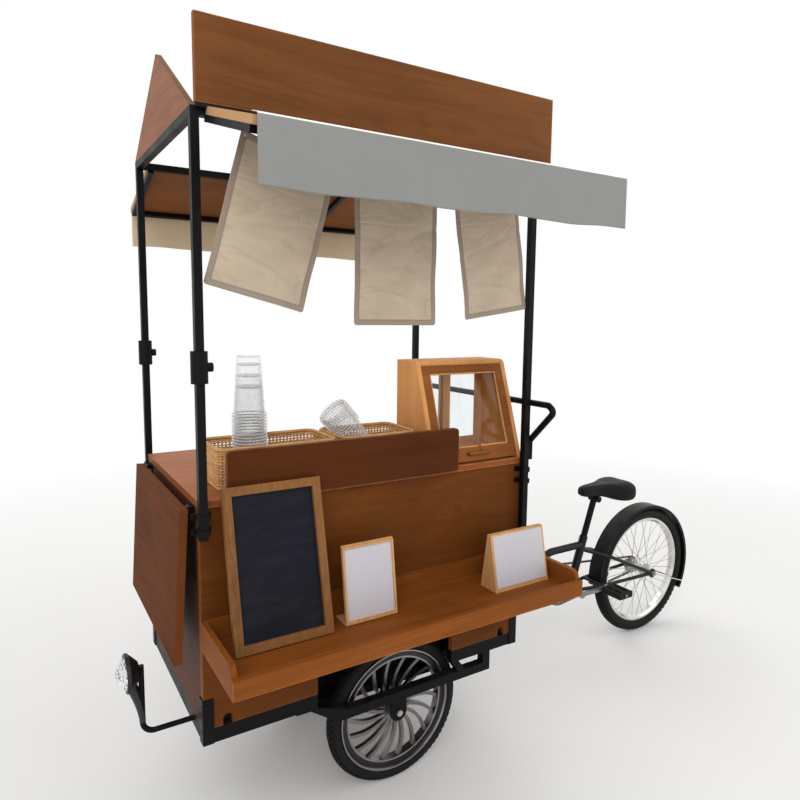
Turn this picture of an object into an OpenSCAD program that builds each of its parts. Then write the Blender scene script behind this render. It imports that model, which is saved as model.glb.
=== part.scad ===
// Bicycle food cart: a wooden box on two front wheels, steered and driven by half a bicycle.
// Millimetres, +Z up. -X is the lamp end, +X the bicycle end, -Y the serving side.
// Lengths are laid out from the box's lamp end, its serving face and the ground.

/* [Box] */
// length of the box
box_len = 1030; // [1010:5:1060]
// depth of the box
box_depth = 610; // [600:5:640]
// height of the counter's top face
counter_z = 975; // [968:1:990]
// thickness of the box's boards
board_t = 18; // [16:1:20]
// overhang of the counter on the long sides
counter_lap = 6; // [4:0.5:7]
// underside of the floor board
floor_z = 475; // [472:1:490]
// thickness of the floor and the shelf
floor_t = 12; // [10:1:15]
// height of the shelf as a share of the storage bay
shelf_share = 0.5; // [0.4:0.05:0.6]
// width of the notches in the serving panel's lower edge
notch_w = 25; // [20:1:30]
// height of those notches
notch_h = 28; // [22:1:32]
// distance of those notches from the ends
notch_in = 62; // [55:1:80]

/* [Base frame] */
// underside of the base rails
base_z = 342; // [338:1:346]
// height of the base rails
rail_h = 40; // [36:1:44]
// width of the base rails
rail_w = 28; // [24:1:28]
// depth of the bars beside the front wheels
drop_h = 28; // [24:1:32]
// height of those bars above the axle
drop_rise = 54; // [50:1:58]
// reach of the outer bars ahead of the axle
drop_ahead = 215; // [200:5:225]
// reach of the outer bars behind the axle
drop_behind = 334; // [325:1:345]
// thickness of the axle plates
plate_t = 6; // [5:0.5:8]
// radius of the axle plates' rounded foot
plate_r = 28; // [24:1:30]
// height of the corner plates
corner_h = 120; // [100:5:130]
// width of the corner plates
corner_w = 26; // [22:1:30]
// thickness of the corner plates
corner_t = 3; // [2:0.5:4]
// thickness of the splash plates
splash_t = 2; // [1.5:0.5:3]

/* [Front wheels] */
// outer diameter of the front wheels
wheel_d = 449; // [445:1:453]
// width of the front tyres
tyre_w = 47; // [44:1:48]
// place of the front axle along the box
wheel_x = 591; // [580:1:600]
// distance of the wheel's middle from the box's face
wheel_in = 56; // [55:0.5:57]
// diameter of the rim under the tyre
rim_d = 376; // [370:1:380]
// depth of the rim
rim_h = 28; // [24:1:32]
// width of the rim at its lip
rim_w = 41; // [38:1:41]
// width of the rim's web
rim_web = 26; // [22:1:30]
// number of curved spokes
spoke_n = 18; // [14:1:20]
// width of a curved spoke
spoke_w = 10; // [8:0.5:11]
// thickness of a curved spoke
spoke_t = 13; // [10:1:16]
// radius of a spoke's curve
spoke_curve = 154; // [145:1:175]
// turn of a spoke from hub to rim, in degrees
spoke_turn = -24; // [-28:1:-20]
// radius of the hub's drum
hub_r = 34; // [30:1:36]
// radius of the hub's nose
hub_nose_r = 22; // [20:1:24]
// width of the hub's drum
hub_drum_w = 22; // [20:1:26]
// length of the hub
hub_w = 50; // [48:0.5:50]
// diameter of the front axles
axle_d = 12; // [10:0.5:14]
// thickness of the axle nuts
nut_h = 8; // [6:0.5:9]
// width across the corners of the axle nuts
nut_d = 21; // [19:0.5:22]

/* [Serving tray] */
// depth of the tray in front of the panel
tray_depth = 261; // [240:1:280]
// overhang of the tray at the lamp end
tray_lap_lamp = 3; // [0:1:8]
// overhang of the tray at the bicycle end
tray_lap_bike = 25; // [15:1:30]
// underside of the tray
tray_z = 600; // [590:1:605]
// height of the tray's apron
apron_h = 46; // [42:1:50]
// height of the tray's cheeks and back
cheek_h = 72; // [66:1:78]
// thickness of the tray's walls
tray_wall = 15; // [13:1:18]
// rounding of the cheeks' front corner
cheek_r = 22; // [16:1:24]

/* [Rail board and leaf] */
// near end of the rail board
rail_board_x = 65; // [60:1:75]
// length of the rail board
rail_board_len = 700; // [660:5:720]
// height of the rail board
rail_board_h = 130; // [120:1:140]
// thickness of the rail board
rail_board_t = 15; // [12:1:18]
// depth of the rail board's lower edge below the counter
rail_board_drop = 11; // [8:1:14]
// rounding of the rail board's corners
rail_board_r = 12; // [6:1:20]
// length of the drop leaf along the box's end
leaf_len = 570; // [540:5:575]
// width of the drop leaf when raised
leaf_w = 392; // [380:1:394]
// thickness of the drop leaf
leaf_t = 20; // [18:1:22]
// lean of the hanging leaf, in degrees
leaf_lean = 3.5; // [3:0.1:5]
// distance of the leaf's pivot from the box's end
leaf_pivot_out = 12; // [12:0.5:13]
// distance of the leaf's inner face from its pivot
leaf_pivot_in = 8; // [8:0.1:8.5]
// rise of the leaf's upper edge above its pivot
leaf_head = 4; // [2:0.5:5]
// diameter of the leaf's pivot pins
leaf_pin_d = 8; // [7:0.5:9]
// outer radius of the leaf's pivot eyes
leaf_eye_r = 7; // [6.5:0.1:7.2]
// width of the leaf's bracket arms
leaf_arm_w = 13; // [11:0.5:14]
// thickness of the leaf's bracket arms
leaf_arm_t = 4; // [3:0.5:4]
// length of the leaf's bracket arms
leaf_arm_len = 250; // [200:10:300]
// height of the brackets' wall plates
leaf_wall_h = 180; // [140:5:200]
// distance of the brackets from the leaf's ends
leaf_bracket_in = 30; // [25:1:60]

/* [Posts and roof] */
// width of the square post tube
post_w = 20; // [18:1:21]
// wall of the post tube
post_wall = 2; // [1.5:0.25:3]
// stand-off of the posts from the box
post_gap = 10; // [8:0.5:11]
// middle of the lamp-end posts
post_lamp_x = 5; // [2:1:8]
// lower end of the lamp-end posts
post_lamp_foot = 884; // [870:1:888]
// lower end of the bicycle-end posts
post_bike_foot = 716; // [700:1:730]
// top face of the roof rails
roof_z = 1885; // [1870:5:1900]
// height of the upper clips
clip_high_z = 930; // [926:1:933]
// height of the lower clips
clip_low_z = 893; // [890:1:895]
// height of a clip
clip_h = 16; // [12:1:18]
// width of a clip's flange
clip_w = 48; // [42:1:50]
// thickness of a clip's strap
clip_t = 3; // [2:0.5:4]
// height of the clamp collars' middle
collar_z = 1300; // [1280:5:1320]
// height of the clamp collars
collar_h = 76; // [60:2:90]
// radius of the clamp collars
collar_r = 20; // [18:1:22]
// radius of the clamp collars' knob
knob_r = 11; // [9:1:14]
// reach of the outer eave edge from the box's face
eave_reach = 356; // [340:1:370]
// height of the eave boards' outer upper edge
eave_edge_z = 1794; // [1780:1:1800]
// thickness of the eave boards
eave_t = 18; // [15:1:20]
// near end of the eave boards
eave_x = 30; // [25:1:40]
// length of the eave boards
eave_len = 1026; // [1000:2:1030]
// width of the eave tubes
eave_tube = 16; // [14:1:18]
// inset of the outer eave tube from the boards' edge
eave_tube_in = 12; // [8:1:20]
// height of the front sign
sign_h = 190; // [180:1:200]
// thickness of the front sign
sign_t = 15; // [12:1:16]
// near end of the front sign
sign_x = 3; // [0:1:6]
// length of the front sign
sign_len = 1072; // [1040:2:1080]
// gap between the sign and the roof rail's top
sign_gap = 4; // [3:0.5:6]
// width of the straps that hold the sign
strap_w = 25; // [20:1:30]
// thickness of those straps
strap_t = 4; // [3:0.5:5]
// inset of the outer straps from the sign's ends
strap_in = 110; // [90:5:140]
// height of the gables
gable_h = 212; // [200:1:220]
// thickness of the gables
gable_t = 15; // [12:1:18]

/* [Cloth] */
// inset of a valance from the eaves' ends
valance_in = 4.5; // [2:0.5:12]
// height of a valance
valance_h = 134; // [125:1:140]
// thickness of the cloth
cloth_t = 3; // [2:0.5:4]
// depth of the valances' waves
valance_wave = 3; // [1:0.5:4]
// number of waves in a valance
valance_waves = 7; // [5:1:9]
// depth of a banner's curve
banner_wave = 4; // [2:0.5:5]
// width of the lamp-end banner
banner_a_w = 254; // [248:1:256]
// height of the lamp-end banner
banner_a_h = 370; // [360:1:372]
// middle of the lamp-end banner
banner_a_x = 190; // [189:1:195]
// height of the lamp-end banner's middle
banner_a_z = 1641; // [1634:1:1643]
// turn of the lamp-end banner, in degrees
banner_a_turn = -15; // [-15:0.5:-12]
// width of the middle banner
banner_b_w = 258; // [250:1:262]
// height of the middle banner
banner_b_h = 458; // [450:1:462]
// middle of the middle banner
banner_b_x = 542; // [530:1:550]
// height of the middle banner's middle
banner_b_z = 1628; // [1620:1:1630]
// width of the bicycle-end banner
banner_c_w = 236; // [230:1:238]
// height of the bicycle-end banner
banner_c_h = 412; // [404:1:414]
// bicycle-end banner's middle from the posts' middle
banner_c_in = 162; // [160:1:170]
// height of the bicycle-end banner's middle
banner_c_z = 1636; // [1630:1:1638]
// turn of the bicycle-end banner, in degrees
banner_c_turn = 8.7; // [6:0.1:8.8]
// inset of the banners' hanging tapes from the corners
tape_in = 12; // [10:1:20]
// width of the hanging tapes
tape_w = 8; // [6:1:12]

/* [Push handle] */
// diameter of the handle's tube
handle_d = 20; // [18:1:22]
// height of the handle's bar
handle_z = 1153; // [1140:1:1160]
// reach of the handle's loops beyond the posts
handle_reach = 105; // [90:1:115]
// height where the loops meet the posts
handle_low_z = 1030; // [1020:1:1040]
// length of the handle's legs along the posts
handle_leg = 60; // [45:1:70]
// radius of the handle's bends
handle_bend = 26; // [22:1:30]

/* [Cabinet] */
// cabinet's outer side from the counter's bicycle end
cabinet_in = 2; // [0:1:4]
// length of the cabinet
cabinet_len = 346; // [338:1:350]
// depth of the cabinet
cabinet_depth = 210; // [200:1:220]
// depth of the cabinet's top
cabinet_top_depth = 107; // [98:1:112]
// height of the cabinet
cabinet_h = 312; // [300:1:320]
// thickness of the cabinet's boards
cabinet_t = 15; // [12:1:16]
// rounding of the cabinet's upper corner
cabinet_r = 14; // [8:1:15]
// thickness of the sloped front
front_t = 15; // [13:1:16]
// width of the sloped front's stiles
stile_w = 28; // [24:1:34]
// width of the sloped front's lower rail
low_rail_w = 42; // [36:1:46]
// width of the sloped front's upper rail
top_rail_w = 24; // [18:1:28]
// thickness of the panes
pane_t = 4; // [3:0.5:4]
// depth of the panes in their rebates
rebate = 5; // [4:0.5:6]
// length of the front's pull
pull_len = 76; // [60:1:90]
// diameter of the front's pull
pull_d = 8; // [6:0.5:9]
// stand-off of the front's pull
pull_out = 14; // [11:0.5:18]
// thickness of the sliding doors
door_t = 12; // [10:0.5:12]
// width of the sliding doors' frame
door_frame = 28; // [22:1:32]
// overlap of the two doors at the middle
door_lap = 30; // [26:1:40]
// thickness of the lips that guide the doors
track_t = 4; // [3:0.5:5]
// height of those lips
track_h = 7; // [5:0.5:9]

/* [Dressing on the counter] */
// length of the lamp-end basket
basket_a_len = 338; // [320:1:342]
// length of the second basket
basket_b_len = 252; // [240:1:254]
// gap from the second basket to the cabinet
basket_cabinet_gap = 19; // [15:1:25]
// gap between the baskets
basket_gap = 13; // [10:1:16]
// depth of the baskets
basket_depth = 185; // [175:1:190]
// distance of the baskets from the serving face
basket_in = 52; // [45:1:60]
// height of the baskets
basket_h = 106; // [100:1:112]
// wall of the baskets
basket_wall = 6; // [5:0.5:8]
// thickness of the baskets' bottom
basket_floor = 8; // [6:0.5:10]
// rounding of the baskets' corners
basket_r = 30; // [24:1:36]
// bead radius of the baskets' rim
basket_bead = 5; // [4:0.5:5.5]
// rim diameter of the cups
cup_d = 97; // [92:1:100]
// foot diameter of the cups
cup_foot_d = 72; // [68:1:76]
// height of the nested rims in the standing stack
cup_rims_h = 186; // [170:1:190]
// height of the topmost cup above those rims
cup_top_h = 152; // [140:1:160]
// length of the leaning stack
cup_lean_len = 190; // [175:1:195]
// lean of that stack from upright, in degrees
cup_lean = 41; // [38:1:44]

/* [Dressing on the tray] */
// width of the chalkboard
chalk_w = 256; // [246:1:262]
// length of the chalkboard
chalk_len = 397; // [390:1:402]
// thickness of the chalkboard's frame
chalk_t = 18; // [15:1:20]
// width of the chalkboard's frame
chalk_frame = 22; // [18:1:26]
// thickness of the chalkboard's panel
chalk_panel = 5; // [4:0.5:6]
// lean of the chalkboard, in degrees
chalk_lean = 13; // [12:0.5:15]
// near end of the chalkboard
chalk_x = 46; // [42:1:50]
// width of the upright card holder
card_w = 155; // [145:1:160]
// height of the upright card holder
card_h = 207; // [195:1:215]
// thickness of the card holder's plates
card_t = 5; // [4:0.5:6]
// depth of the upright card holder's foot
card_foot = 60; // [50:1:70]
// lean of the upright card holder, in degrees
card_lean = 8; // [6:0.5:12]
// near end of the upright card holder
card_x = 344; // [336:1:350]
// distance of the upright card holder from the serving face
card_out = 110; // [105:1:120]
// near end of the wedge card holder
wedge_x = 815; // [800:1:818]
// length of the wedge card holder
wedge_len = 207; // [200:1:212]
// height of the wedge card holder
wedge_h = 165; // [155:1:172]
// depth of the wedge card holder
wedge_depth = 72; // [65:1:80]
// wedge card holder's back from the serving face
wedge_out = 80; // [70:1:90]
// width of the wedge card holder's upper edge
wedge_top = 14; // [10:1:18]

/* [Lamp] */
// distance of the lamp from the serving face
lamp_y = 103; // [98:1:110]
// height of the lamp's middle
lamp_z = 531; // [526:1:532]
// diameter of the lamp
lamp_d = 94; // [88:1:95]
// reach of the lens from the box's end
lamp_reach = 184; // [180:1:188]
// depth of the lamp's shell
lamp_depth = 51; // [48:1:54]
// wall of the lamp's shell
lamp_wall = 3; // [2:0.5:4]
// radius of the lamp's back
lamp_back_r = 24; // [20:1:26]
// depth of the lens
lens_h = 26; // [24:1:28]
// diameter of the lamp's arm
lamp_arm_d = 14; // [12:1:16]
// height of the arm's foot
lamp_foot_z = 361; // [358:1:366]
// radius of the arm's elbow
lamp_bend = 30; // [24:1:36]

/* [Steering head] */
// distance of the steering pin from the box
head_out = 85; // [80:1:92]
// diameter of the steering pin
pin_d = 16; // [14:0.5:18]
// outer diameter of the head tube
head_d = 36; // [34:1:40]
// underside of the upper steering ear
ear_high_z = 512; // [505:1:520]
// thickness of the steering ears
ear_t = 10; // [8:0.5:12]
// radius of the steering ears
ear_r = 26; // [24:1:28]
// thickness of the steering plate
head_plate_t = 8; // [6:0.5:10]
// width of the steering plate
head_plate_w = 90; // [80:1:100]
// radius of the pin's head
pin_head_r = 13; // [12:0.5:14]
// thickness of the pin's head
pin_head_h = 9; // [7:0.5:10]

/* [Bicycle half] */
// outer diameter of the drive wheel
drive_d = 571; // [566:1:575]
// width of the drive tyre
drive_tyre_w = 57; // [52:1:58]
// diameter of the drive rim under the tyre
drive_rim_d = 476; // [472:1:480]
// depth of the drive rim
drive_rim_h = 16; // [14:1:18]
// width of the drive rim
drive_rim_w = 34; // [30:1:36]
// place of the drive axle from the box's lamp end
drive_x = 2062; // [2055:1:2070]
// distance of the bottom bracket from the drive axle
stay_len = 450; // [447:1:455]
// slope of the seat tube, in degrees
seat_slope = 71.3; // [71:0.1:72]
// diameter of the seat tube
seat_tube_d = 34; // [33:0.5:36]
// length of the seat tube above the bottom bracket
seat_tube_len = 231; // [226:1:236]
// diameter of the seat post
seat_post_d = 26; // [25:0.5:27]
// reach of the seat post above the seat tube
seat_post_up = 177; // [168:1:182]
// length of the seat post left in the tube with the saddle up
seat_grip = 70; // [60:1:75]
// upward travel of the saddle
saddle_up = 60; // [40:1:70]
// diameter of the main tube
main_tube_d = 30; // [27:1:32]
// height of the main tube at the steering head
main_low_z = 430; // [425:1:440]
// height of the main tube before the seat tube
main_high_z = 468; // [464:1:472]
// start of the main tube's rise, from the steering pin
main_rise_a = 285; // [270:1:295]
// end of the main tube's rise, from the steering pin
main_rise_b = 375; // [365:1:385]
// radius of the main tube's bends
main_bend = 90; // [80:1:100]
// diameter of the lower tube
low_tube_d = 28; // [25:1:30]
// height of the lower tube at the steering head
low_tube_z = 385; // [380:1:388]
// outer diameter of the bottom bracket's shell
shell_d = 44; // [42:1:46]
// width of the bottom bracket's shell
shell_w = 72; // [68:1:74]
// diameter of the stays
stay_d = 15; // [13:1:16]
// distance of the stays from the middle at the drive axle
stay_out = 69; // [68:0.5:70]
// distance of the stays from the middle beside the tyre
stay_mid = 52; // [50:0.5:53]
// distance of the seat stays from the middle beside the tyre
seat_stay_mid = 60; // [59:0.5:61]
// radius of the stays' bends
stay_bend = 60; // [50:1:70]
// thickness of the dropouts
dropout_t = 6; // [5:0.5:7]
// radius of the dropouts
dropout_r = 20; // [18:1:22]
// diameter of the drive axle
drive_axle_d = 10; // [9:0.5:11]
// radius of the drive hub's shell
drive_hub_r = 18; // [16:1:20]
// radius of the drive hub's flanges
flange_r = 30; // [28:1:32]
// distance of the flanges from the middle
flange_out = 31; // [29:0.5:32]
// thickness of the flanges
flange_t = 3; // [2.5:0.25:4]
// number of wire spokes
wire_n = 36; // [28:4:36]
// diameter of the wire spokes
wire_d = 2.4; // [2:0.1:2.6]
// teeth of the drive sprocket
sprocket_n = 18; // [16:1:20]
// teeth of the chainring
ring_n = 44; // [42:1:46]
// pitch of the chain
chain_pitch = 12.7; // [12.7:0.1:12.7]
// distance of the chain from the middle
chain_out = 52; // [51.5:0.25:52.5]
// thickness of the toothed wheels
tooth_t = 3; // [2.5:0.1:3]
// thickness of the chain's side plates
link_t = 1.5; // [1.2:0.1:1.6]
// height of the chain's side plates
link_h = 9; // [8:0.25:9.5]
// width of the chain's inner gap
link_gap = 4; // [3.8:0.1:4.2]
// length of the cranks
crank_len = 150; // [145:1:155]
// diameter of the crank spindle
spindle_d = 18; // [17:0.5:19]
// distance of the cranks from the middle
crank_out = 64; // [63:0.5:66]
// thickness of the cranks
crank_t = 12; // [10:0.5:13]
// width of the cranks
crank_w = 24; // [20:1:26]
// diameter of the pedal pins
pedal_pin_d = 12; // [10:0.5:13]
// width of a pedal along its pin
pedal_w = 92; // [85:1:98]
// length of a pedal
pedal_len = 76; // [70:1:82]
// thickness of a pedal
pedal_h = 24; // [21:1:28]
// gap between the drive tyre and the mudguard
guard_gap = 11; // [9:1:14]
// thickness of the mudguard
guard_t = 2; // [1.5:0.25:3]
// width of the mudguard
guard_w = 66; // [64:1:70]
// depth of the mudguard's lips
guard_lip = 11; // [8:1:13]
// front end of the mudguard, in degrees from the rear
guard_front = 184; // [182:1:186]
// rear end of the mudguard, in degrees from the rear
guard_rear = -28; // [-32:1:-24]
// place of the mudguard's stays, in degrees from the rear
guard_stay_a = -21; // [-23:1:-16]
// diameter of the mudguard's stays
guard_stay_d = 5; // [4:0.5:6]
// length of the saddle
saddle_len = 268; // [255:1:275]
// width of the saddle
saddle_w = 190; // [175:1:200]
// height of the saddle's pad
saddle_h = 58; // [52:1:62]
// radius of the saddle's nose
saddle_nose_r = 19; // [16:1:21]
// set-back of the saddle's nose ahead of the post
saddle_ahead = 92; // [85:1:100]

/* [Fits] */
// radial gap of a shaft in its bore
run_fit = 0.06; // [0.04:0.01:0.09]
// gap beside a part that turns or slides
side_gap = 0.6; // [0.5:0.05:1]
// gap between a wire's end and its rim
end_gap = 0.4; // [0.3:0.05:0.5]
// step between a tube's bend and its straight length
bend_step = 0.12; // [0.1:0.01:0.2]
// overrun of every cut
over = 2; // [1:0.5:2]

/* [Hidden] */
$fn = 48;
wheel_r = wheel_d / 2;
rim_r = rim_d / 2;
axle_r = axle_d / 2;
panel_z = base_z + rail_h;
counter_low = counter_z - board_t;
mid_y = box_depth / 2;
post_y = -post_gap - post_w / 2;
post_bike_x = box_len;
post_rise_z = roof_z - post_w;
outer_post_y = post_y - post_w / 2;
well_ahead_share = 1.24;
well_x0 = wheel_x - wheel_r * well_ahead_share;
well_back_share = 0.8;
well_x1 = wheel_x + wheel_r * well_back_share;
well_chord = sqrt(wheel_r * wheel_r - (base_z - wheel_r) * (base_z - wheel_r));
cross_x1 = wheel_x + well_chord + plate_r / 2;
drop_z = wheel_r + drop_rise;
drop_top = drop_z + drop_h;
inner_y = 2 * wheel_in - rail_w;
drop_x0 = wheel_x - drop_ahead;
drop_x1 = wheel_x + drop_behind;
head_x = box_len + head_out;
head_top = ear_high_z + ear_t;
pin_r = pin_d / 2;
drive_r = drive_d / 2;
drive_rim_r = drive_rim_d / 2;
drive_z = drive_r;
bb_x = drive_x - stay_len;
seat_dir = [cos(seat_slope), 0, sin(seat_slope)];
bb = [bb_x, mid_y, drive_z];
seat_top = bb + seat_dir * seat_tube_len;
seat_head = seat_top + seat_dir * seat_post_up;
seat_post_in = saddle_up + seat_grip;
guard_r = drive_r + guard_gap;
guard_end_x = drive_x + guard_r + guard_t;
eave_inner_z = roof_z + eave_t / 8;
eave_run = eave_reach + outer_post_y - eave_t;
eave_a = atan2(eave_inner_z - eave_edge_z, eave_run);
eave_l = eave_run / cos(eave_a);
eave_low_z = eave_inner_z - eave_t / cos(eave_a);
valance_x = eave_x + valance_in;
valance_len = eave_len - 2 * valance_in;
eave_edge_y = outer_post_y - side_gap - eave_run - eave_t * sin(eave_a);
x_low = -lamp_reach;
x_high = guard_end_x;
origin_x = (x_low + x_high) / 2;
leaf_z = counter_z - leaf_pivot_in - leaf_t;
tray_face = tray_z + board_t;
tray_x0 = -tray_lap_lamp;
tray_x1 = box_len + tray_lap_bike;
cabinet_x1 = box_len + counter_lap - cabinet_in;
cabinet_x0 = cabinet_x1 - cabinet_len;
cabinet_y1 = cabinet_depth;
cabinet_top_y = cabinet_depth - cabinet_top_depth;
cabinet_z1 = counter_z + cabinet_h;
front_a = atan2(cabinet_top_y, cabinet_h);
front_len = (cabinet_h - cabinet_t - end_gap) / cos(front_a);
front_back_y = front_t / cos(front_a) + cabinet_t * tan(front_a) + end_gap;
front_x0 = cabinet_x0 + cabinet_t;
front_w = cabinet_len - 2 * cabinet_t;
door_w = (front_w + door_lap) / 2;
door_z0 = counter_z + cabinet_t;
door_h = cabinet_h - 2 * cabinet_t;
door_b = [front_x0 + front_w - door_w - side_gap, cabinet_y1 - track_t - side_gap - door_t];
door_a = [front_x0 + side_gap, door_b[1] - side_gap - door_t];
basket_b_x = cabinet_x0 - basket_cabinet_gap - basket_b_len;
basket_a_x = basket_b_x - basket_gap - basket_a_len;
cup_lip_share = 0.042;
chalk_y = -counter_lap - rail_board_t - chalk_len * sin(chalk_lean);
sprocket_r = chain_pitch / (2 * sin(180 / sprocket_n));
ring_r = chain_pitch / (2 * sin(180 / ring_n));
chain_a = asin((ring_r - sprocket_r) / stay_len);
chain_run = stay_len * cos(chain_a);
roller_start_share = 0.3;
roller_run_share = 0.5;
window_n = 5;
window_place_share = 0.6;
window_size_share = 0.22;
eave_bays = 3;
crank_y = crank_out + crank_t;
pedal_y = crank_y + pedal_pin_d / 3;
saddle_z = seat_head[2];
saddle_x0 = seat_head[0] - saddle_ahead;
tube_r = seat_tube_d / 2;

// Layout helpers

// moves the cart so that the origin is under its middle
module place() {
    translate([-origin_x, -mid_y, 0]) children();
}

// repeats the serving side's pieces on the vendor side
module on_vendor_side() {
    translate([0, box_depth, 0]) mirror([0, 1, 0]) children();
}

module on_both_sides() {
    children();
    on_vendor_side() children();
}

// a box given by two opposite corners
module block(a, b) {
    translate(a) cube(b - a);
}

// a round bar along Y
module y_rod(x, y0, y1, z, r) {
    translate([x, y1, z]) rotate([90, 0, 0]) cylinder(h = y1 - y0, r = r);
}

// a plate of constant Y thickness drawn in the X-Z plane
module xz_plate(y0, y1) {
    translate([0, y1, 0]) rotate([90, 0, 0]) linear_extrude(height = y1 - y0) children();
}

// a plate of constant X thickness drawn in the Y-Z plane
module yz_plate(x0, x1) {
    translate([x0, 0, 0]) rotate([90, 0, 90]) linear_extrude(height = x1 - x0) children();
}

// a rectangle with round corners
module round_rect(w, h, r) {
    translate([r, 0]) square([w - 2 * r, h]);
    translate([0, r]) square([w, h - 2 * r]);
    for (x = [r, w - r])
        for (y = [r, h - r])
            translate([x, y]) circle(r);
}

function unit(v) = v / norm(v);
function turn_at(p, i) = acos(unit(p[i] - p[i - 1]) * unit(p[i + 1] - p[i]));
function set_back(p, i, bend) = (i == 0 || i == len(p) - 1) ? 0 : bend * tan(turn_at(p, i) / 2);

// a straight round bar between two points
module rod(a, b, r) {
    d = b - a;
    translate(a) rotate([0, acos(d[2] / norm(d)), atan2(d[1], d[0])]) cylinder(h = norm(d), r = r);
}

// a round elbow at a path's corner
module elbow(p, i, r, bend) {
    u = unit(p[i] - p[i - 1]);
    v = unit(p[i + 1] - p[i]);
    n = unit(v - u * (u * v));
    c = p[i] - u * set_back(p, i, bend) + n * bend;
    w = cross(-n, u);
    multmatrix([[-n[0], u[0], w[0], c[0]], [-n[1], u[1], w[1], c[1]], [-n[2], u[2], w[2], c[2]],
        [0, 0, 0, 1]])
        rotate_extrude(angle = turn_at(p, i)) translate([bend, 0]) circle(r + bend_step);
}

// a bent round bar through a list of points
module bent_rod(p, r, bend) {
    for (i = [0 : len(p) - 2]) {
        u = unit(p[i + 1] - p[i]);
        a = i == 0 ? 0 : set_back(p, i, bend) - over / 2;
        b = i == len(p) - 2 ? 0 : set_back(p, i + 1, bend) - over / 2;
        rod(p[i] + u * a, p[i + 1] - u * b, r);
    }
    for (i = [1 : 1 : len(p) - 2])
        elbow(p, i, r, bend);
}

// Base and box

module side_frame() {
    block([0, 0, base_z], [well_x0, rail_w, panel_z]);
    block([well_x1, 0, base_z], [box_len, rail_w, panel_z]);
    // outer bar that carries the axle, dropped below the rail
    xz_plate(0, rail_w) polygon([[well_x0 - rail_w, base_z], [well_x0, base_z],
        [drop_x0 + rail_w, drop_top],
        [cross_x1, drop_top], [well_x1 + over, base_z], [well_x1 + rail_w, base_z],
        [cross_x1 + rail_w, drop_top], [drop_x1 - rail_w, drop_top], [drop_x1 - rail_w, base_z],
        [drop_x1, base_z], [drop_x1, drop_z], [drop_x0, drop_z]]);
    // inner bar
    block([well_x0 - rail_w, inner_y, drop_z], [cross_x1 + rail_w, inner_y + rail_w, drop_top]);
    for (x = [well_x0 - rail_w, cross_x1])
        block([x, inner_y, drop_z], [x + rail_w, inner_y + rail_w, base_z]);
    // axle plates
    for (y = [rail_w - plate_t, inner_y])
        difference() {
            union() {
                y_rod(wheel_x, y, y + plate_t, wheel_r, plate_r);
                block([wheel_x - plate_r, y, wheel_r], [wheel_x + plate_r, y + plate_t, drop_z + over]);
            }
            y_rod(wheel_x, y - over, y + plate_t + over, wheel_r, axle_r + run_fit);
        }
    // splash plates round the wheel
    block([well_x0 - rail_w, inner_y + rail_w - splash_t, drop_top - over],
        [cross_x1 + rail_w, inner_y + rail_w, floor_z]);
    for (x = [well_x0 - splash_t, cross_x1])
        block([x, board_t, panel_z - over], [x + splash_t, inner_y + rail_w, floor_z]);
    // corner plates
    for (x = [-corner_t, box_len - corner_w])
        block([x, -corner_t, base_z], [x + corner_w + corner_t, 0, base_z + corner_h]);
    for (x = [-corner_t, box_len])
        block([x, -corner_t, base_z], [x + corner_t, corner_w, base_z + corner_h]);
}

module steering_ear(z) {
    difference() {
        union() {
            block([box_len, mid_y - ear_r, z], [head_x, mid_y + ear_r, z + ear_t]);
            translate([head_x, mid_y, z]) cylinder(h = ear_t, r = ear_r);
        }
        translate([head_x, mid_y, z - over]) cylinder(h = ear_t + 2 * over, r = pin_r + run_fit);
    }
}

module base_frame() {
    color([0.09, 0.09, 0.1]) place() {
        on_both_sides() side_frame();
        for (x = [0, well_x0 - rail_w, cross_x1, box_len - rail_w])
            block([x, 0, base_z], [x + rail_w, box_depth, panel_z]);
        block([box_len, mid_y - head_plate_w / 2, base_z],
            [box_len + head_plate_t, mid_y + head_plate_w / 2, head_top]);
        steering_ear(base_z);
        steering_ear(ear_high_z);
    }
}

module wheel_axle() {
    y_low = rail_w - plate_t - nut_h;
    y_high = inner_y + plate_t + nut_h;
    y_rod(wheel_x, y_low - over, y_high + over, wheel_r, axle_r);
    for (y = [y_low, y_high - nut_h])
        translate([wheel_x, y + nut_h, wheel_r]) rotate([90, 0, 0]) cylinder(h = nut_h, d = nut_d, $fn = 6);
    for (y = [[rail_w, wheel_in - hub_w / 2 - side_gap], [wheel_in + hub_w / 2 + side_gap, inner_y]])
        y_rod(wheel_x, y[0], y[1], wheel_r, axle_r + plate_t / 2);
}

module cart_pins() {
    color([0.7, 0.7, 0.72]) place() {
        on_both_sides() wheel_axle();
        steering_pin();
    }
}

module floor_board() {
    color([0.5, 0.33, 0.2]) place()
        block([board_t, board_t, floor_z], [box_len - board_t, box_depth - board_t, floor_z + floor_t]);
}

module wheel_opening() {
    block([well_x0, -over, panel_z - over], [well_x1, board_t + over, floor_z]);
}

module serving_panel() {
    color([0.42, 0.22, 0.1]) place() difference() {
        block([0, 0, panel_z], [box_len, board_t, counter_low]);
        wheel_opening();
        for (x = [notch_in, box_len - notch_in]) {
            block([x - notch_w / 2, -over, panel_z - over],
                [x + notch_w / 2, board_t + over, panel_z + notch_h - notch_w / 2]);
            y_rod(x, -over, board_t + over, panel_z + notch_h - notch_w / 2, notch_w / 2);
        }
    }
}

module end_panel(x) {
    block([x, board_t, panel_z], [x + board_t, box_depth, counter_low]);
}

module lamp_end_panel() {
    color([0.45, 0.25, 0.13]) place() end_panel(0);
}

module bike_end_panel() {
    color([0.45, 0.25, 0.13]) place() end_panel(box_len - board_t);
}

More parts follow.
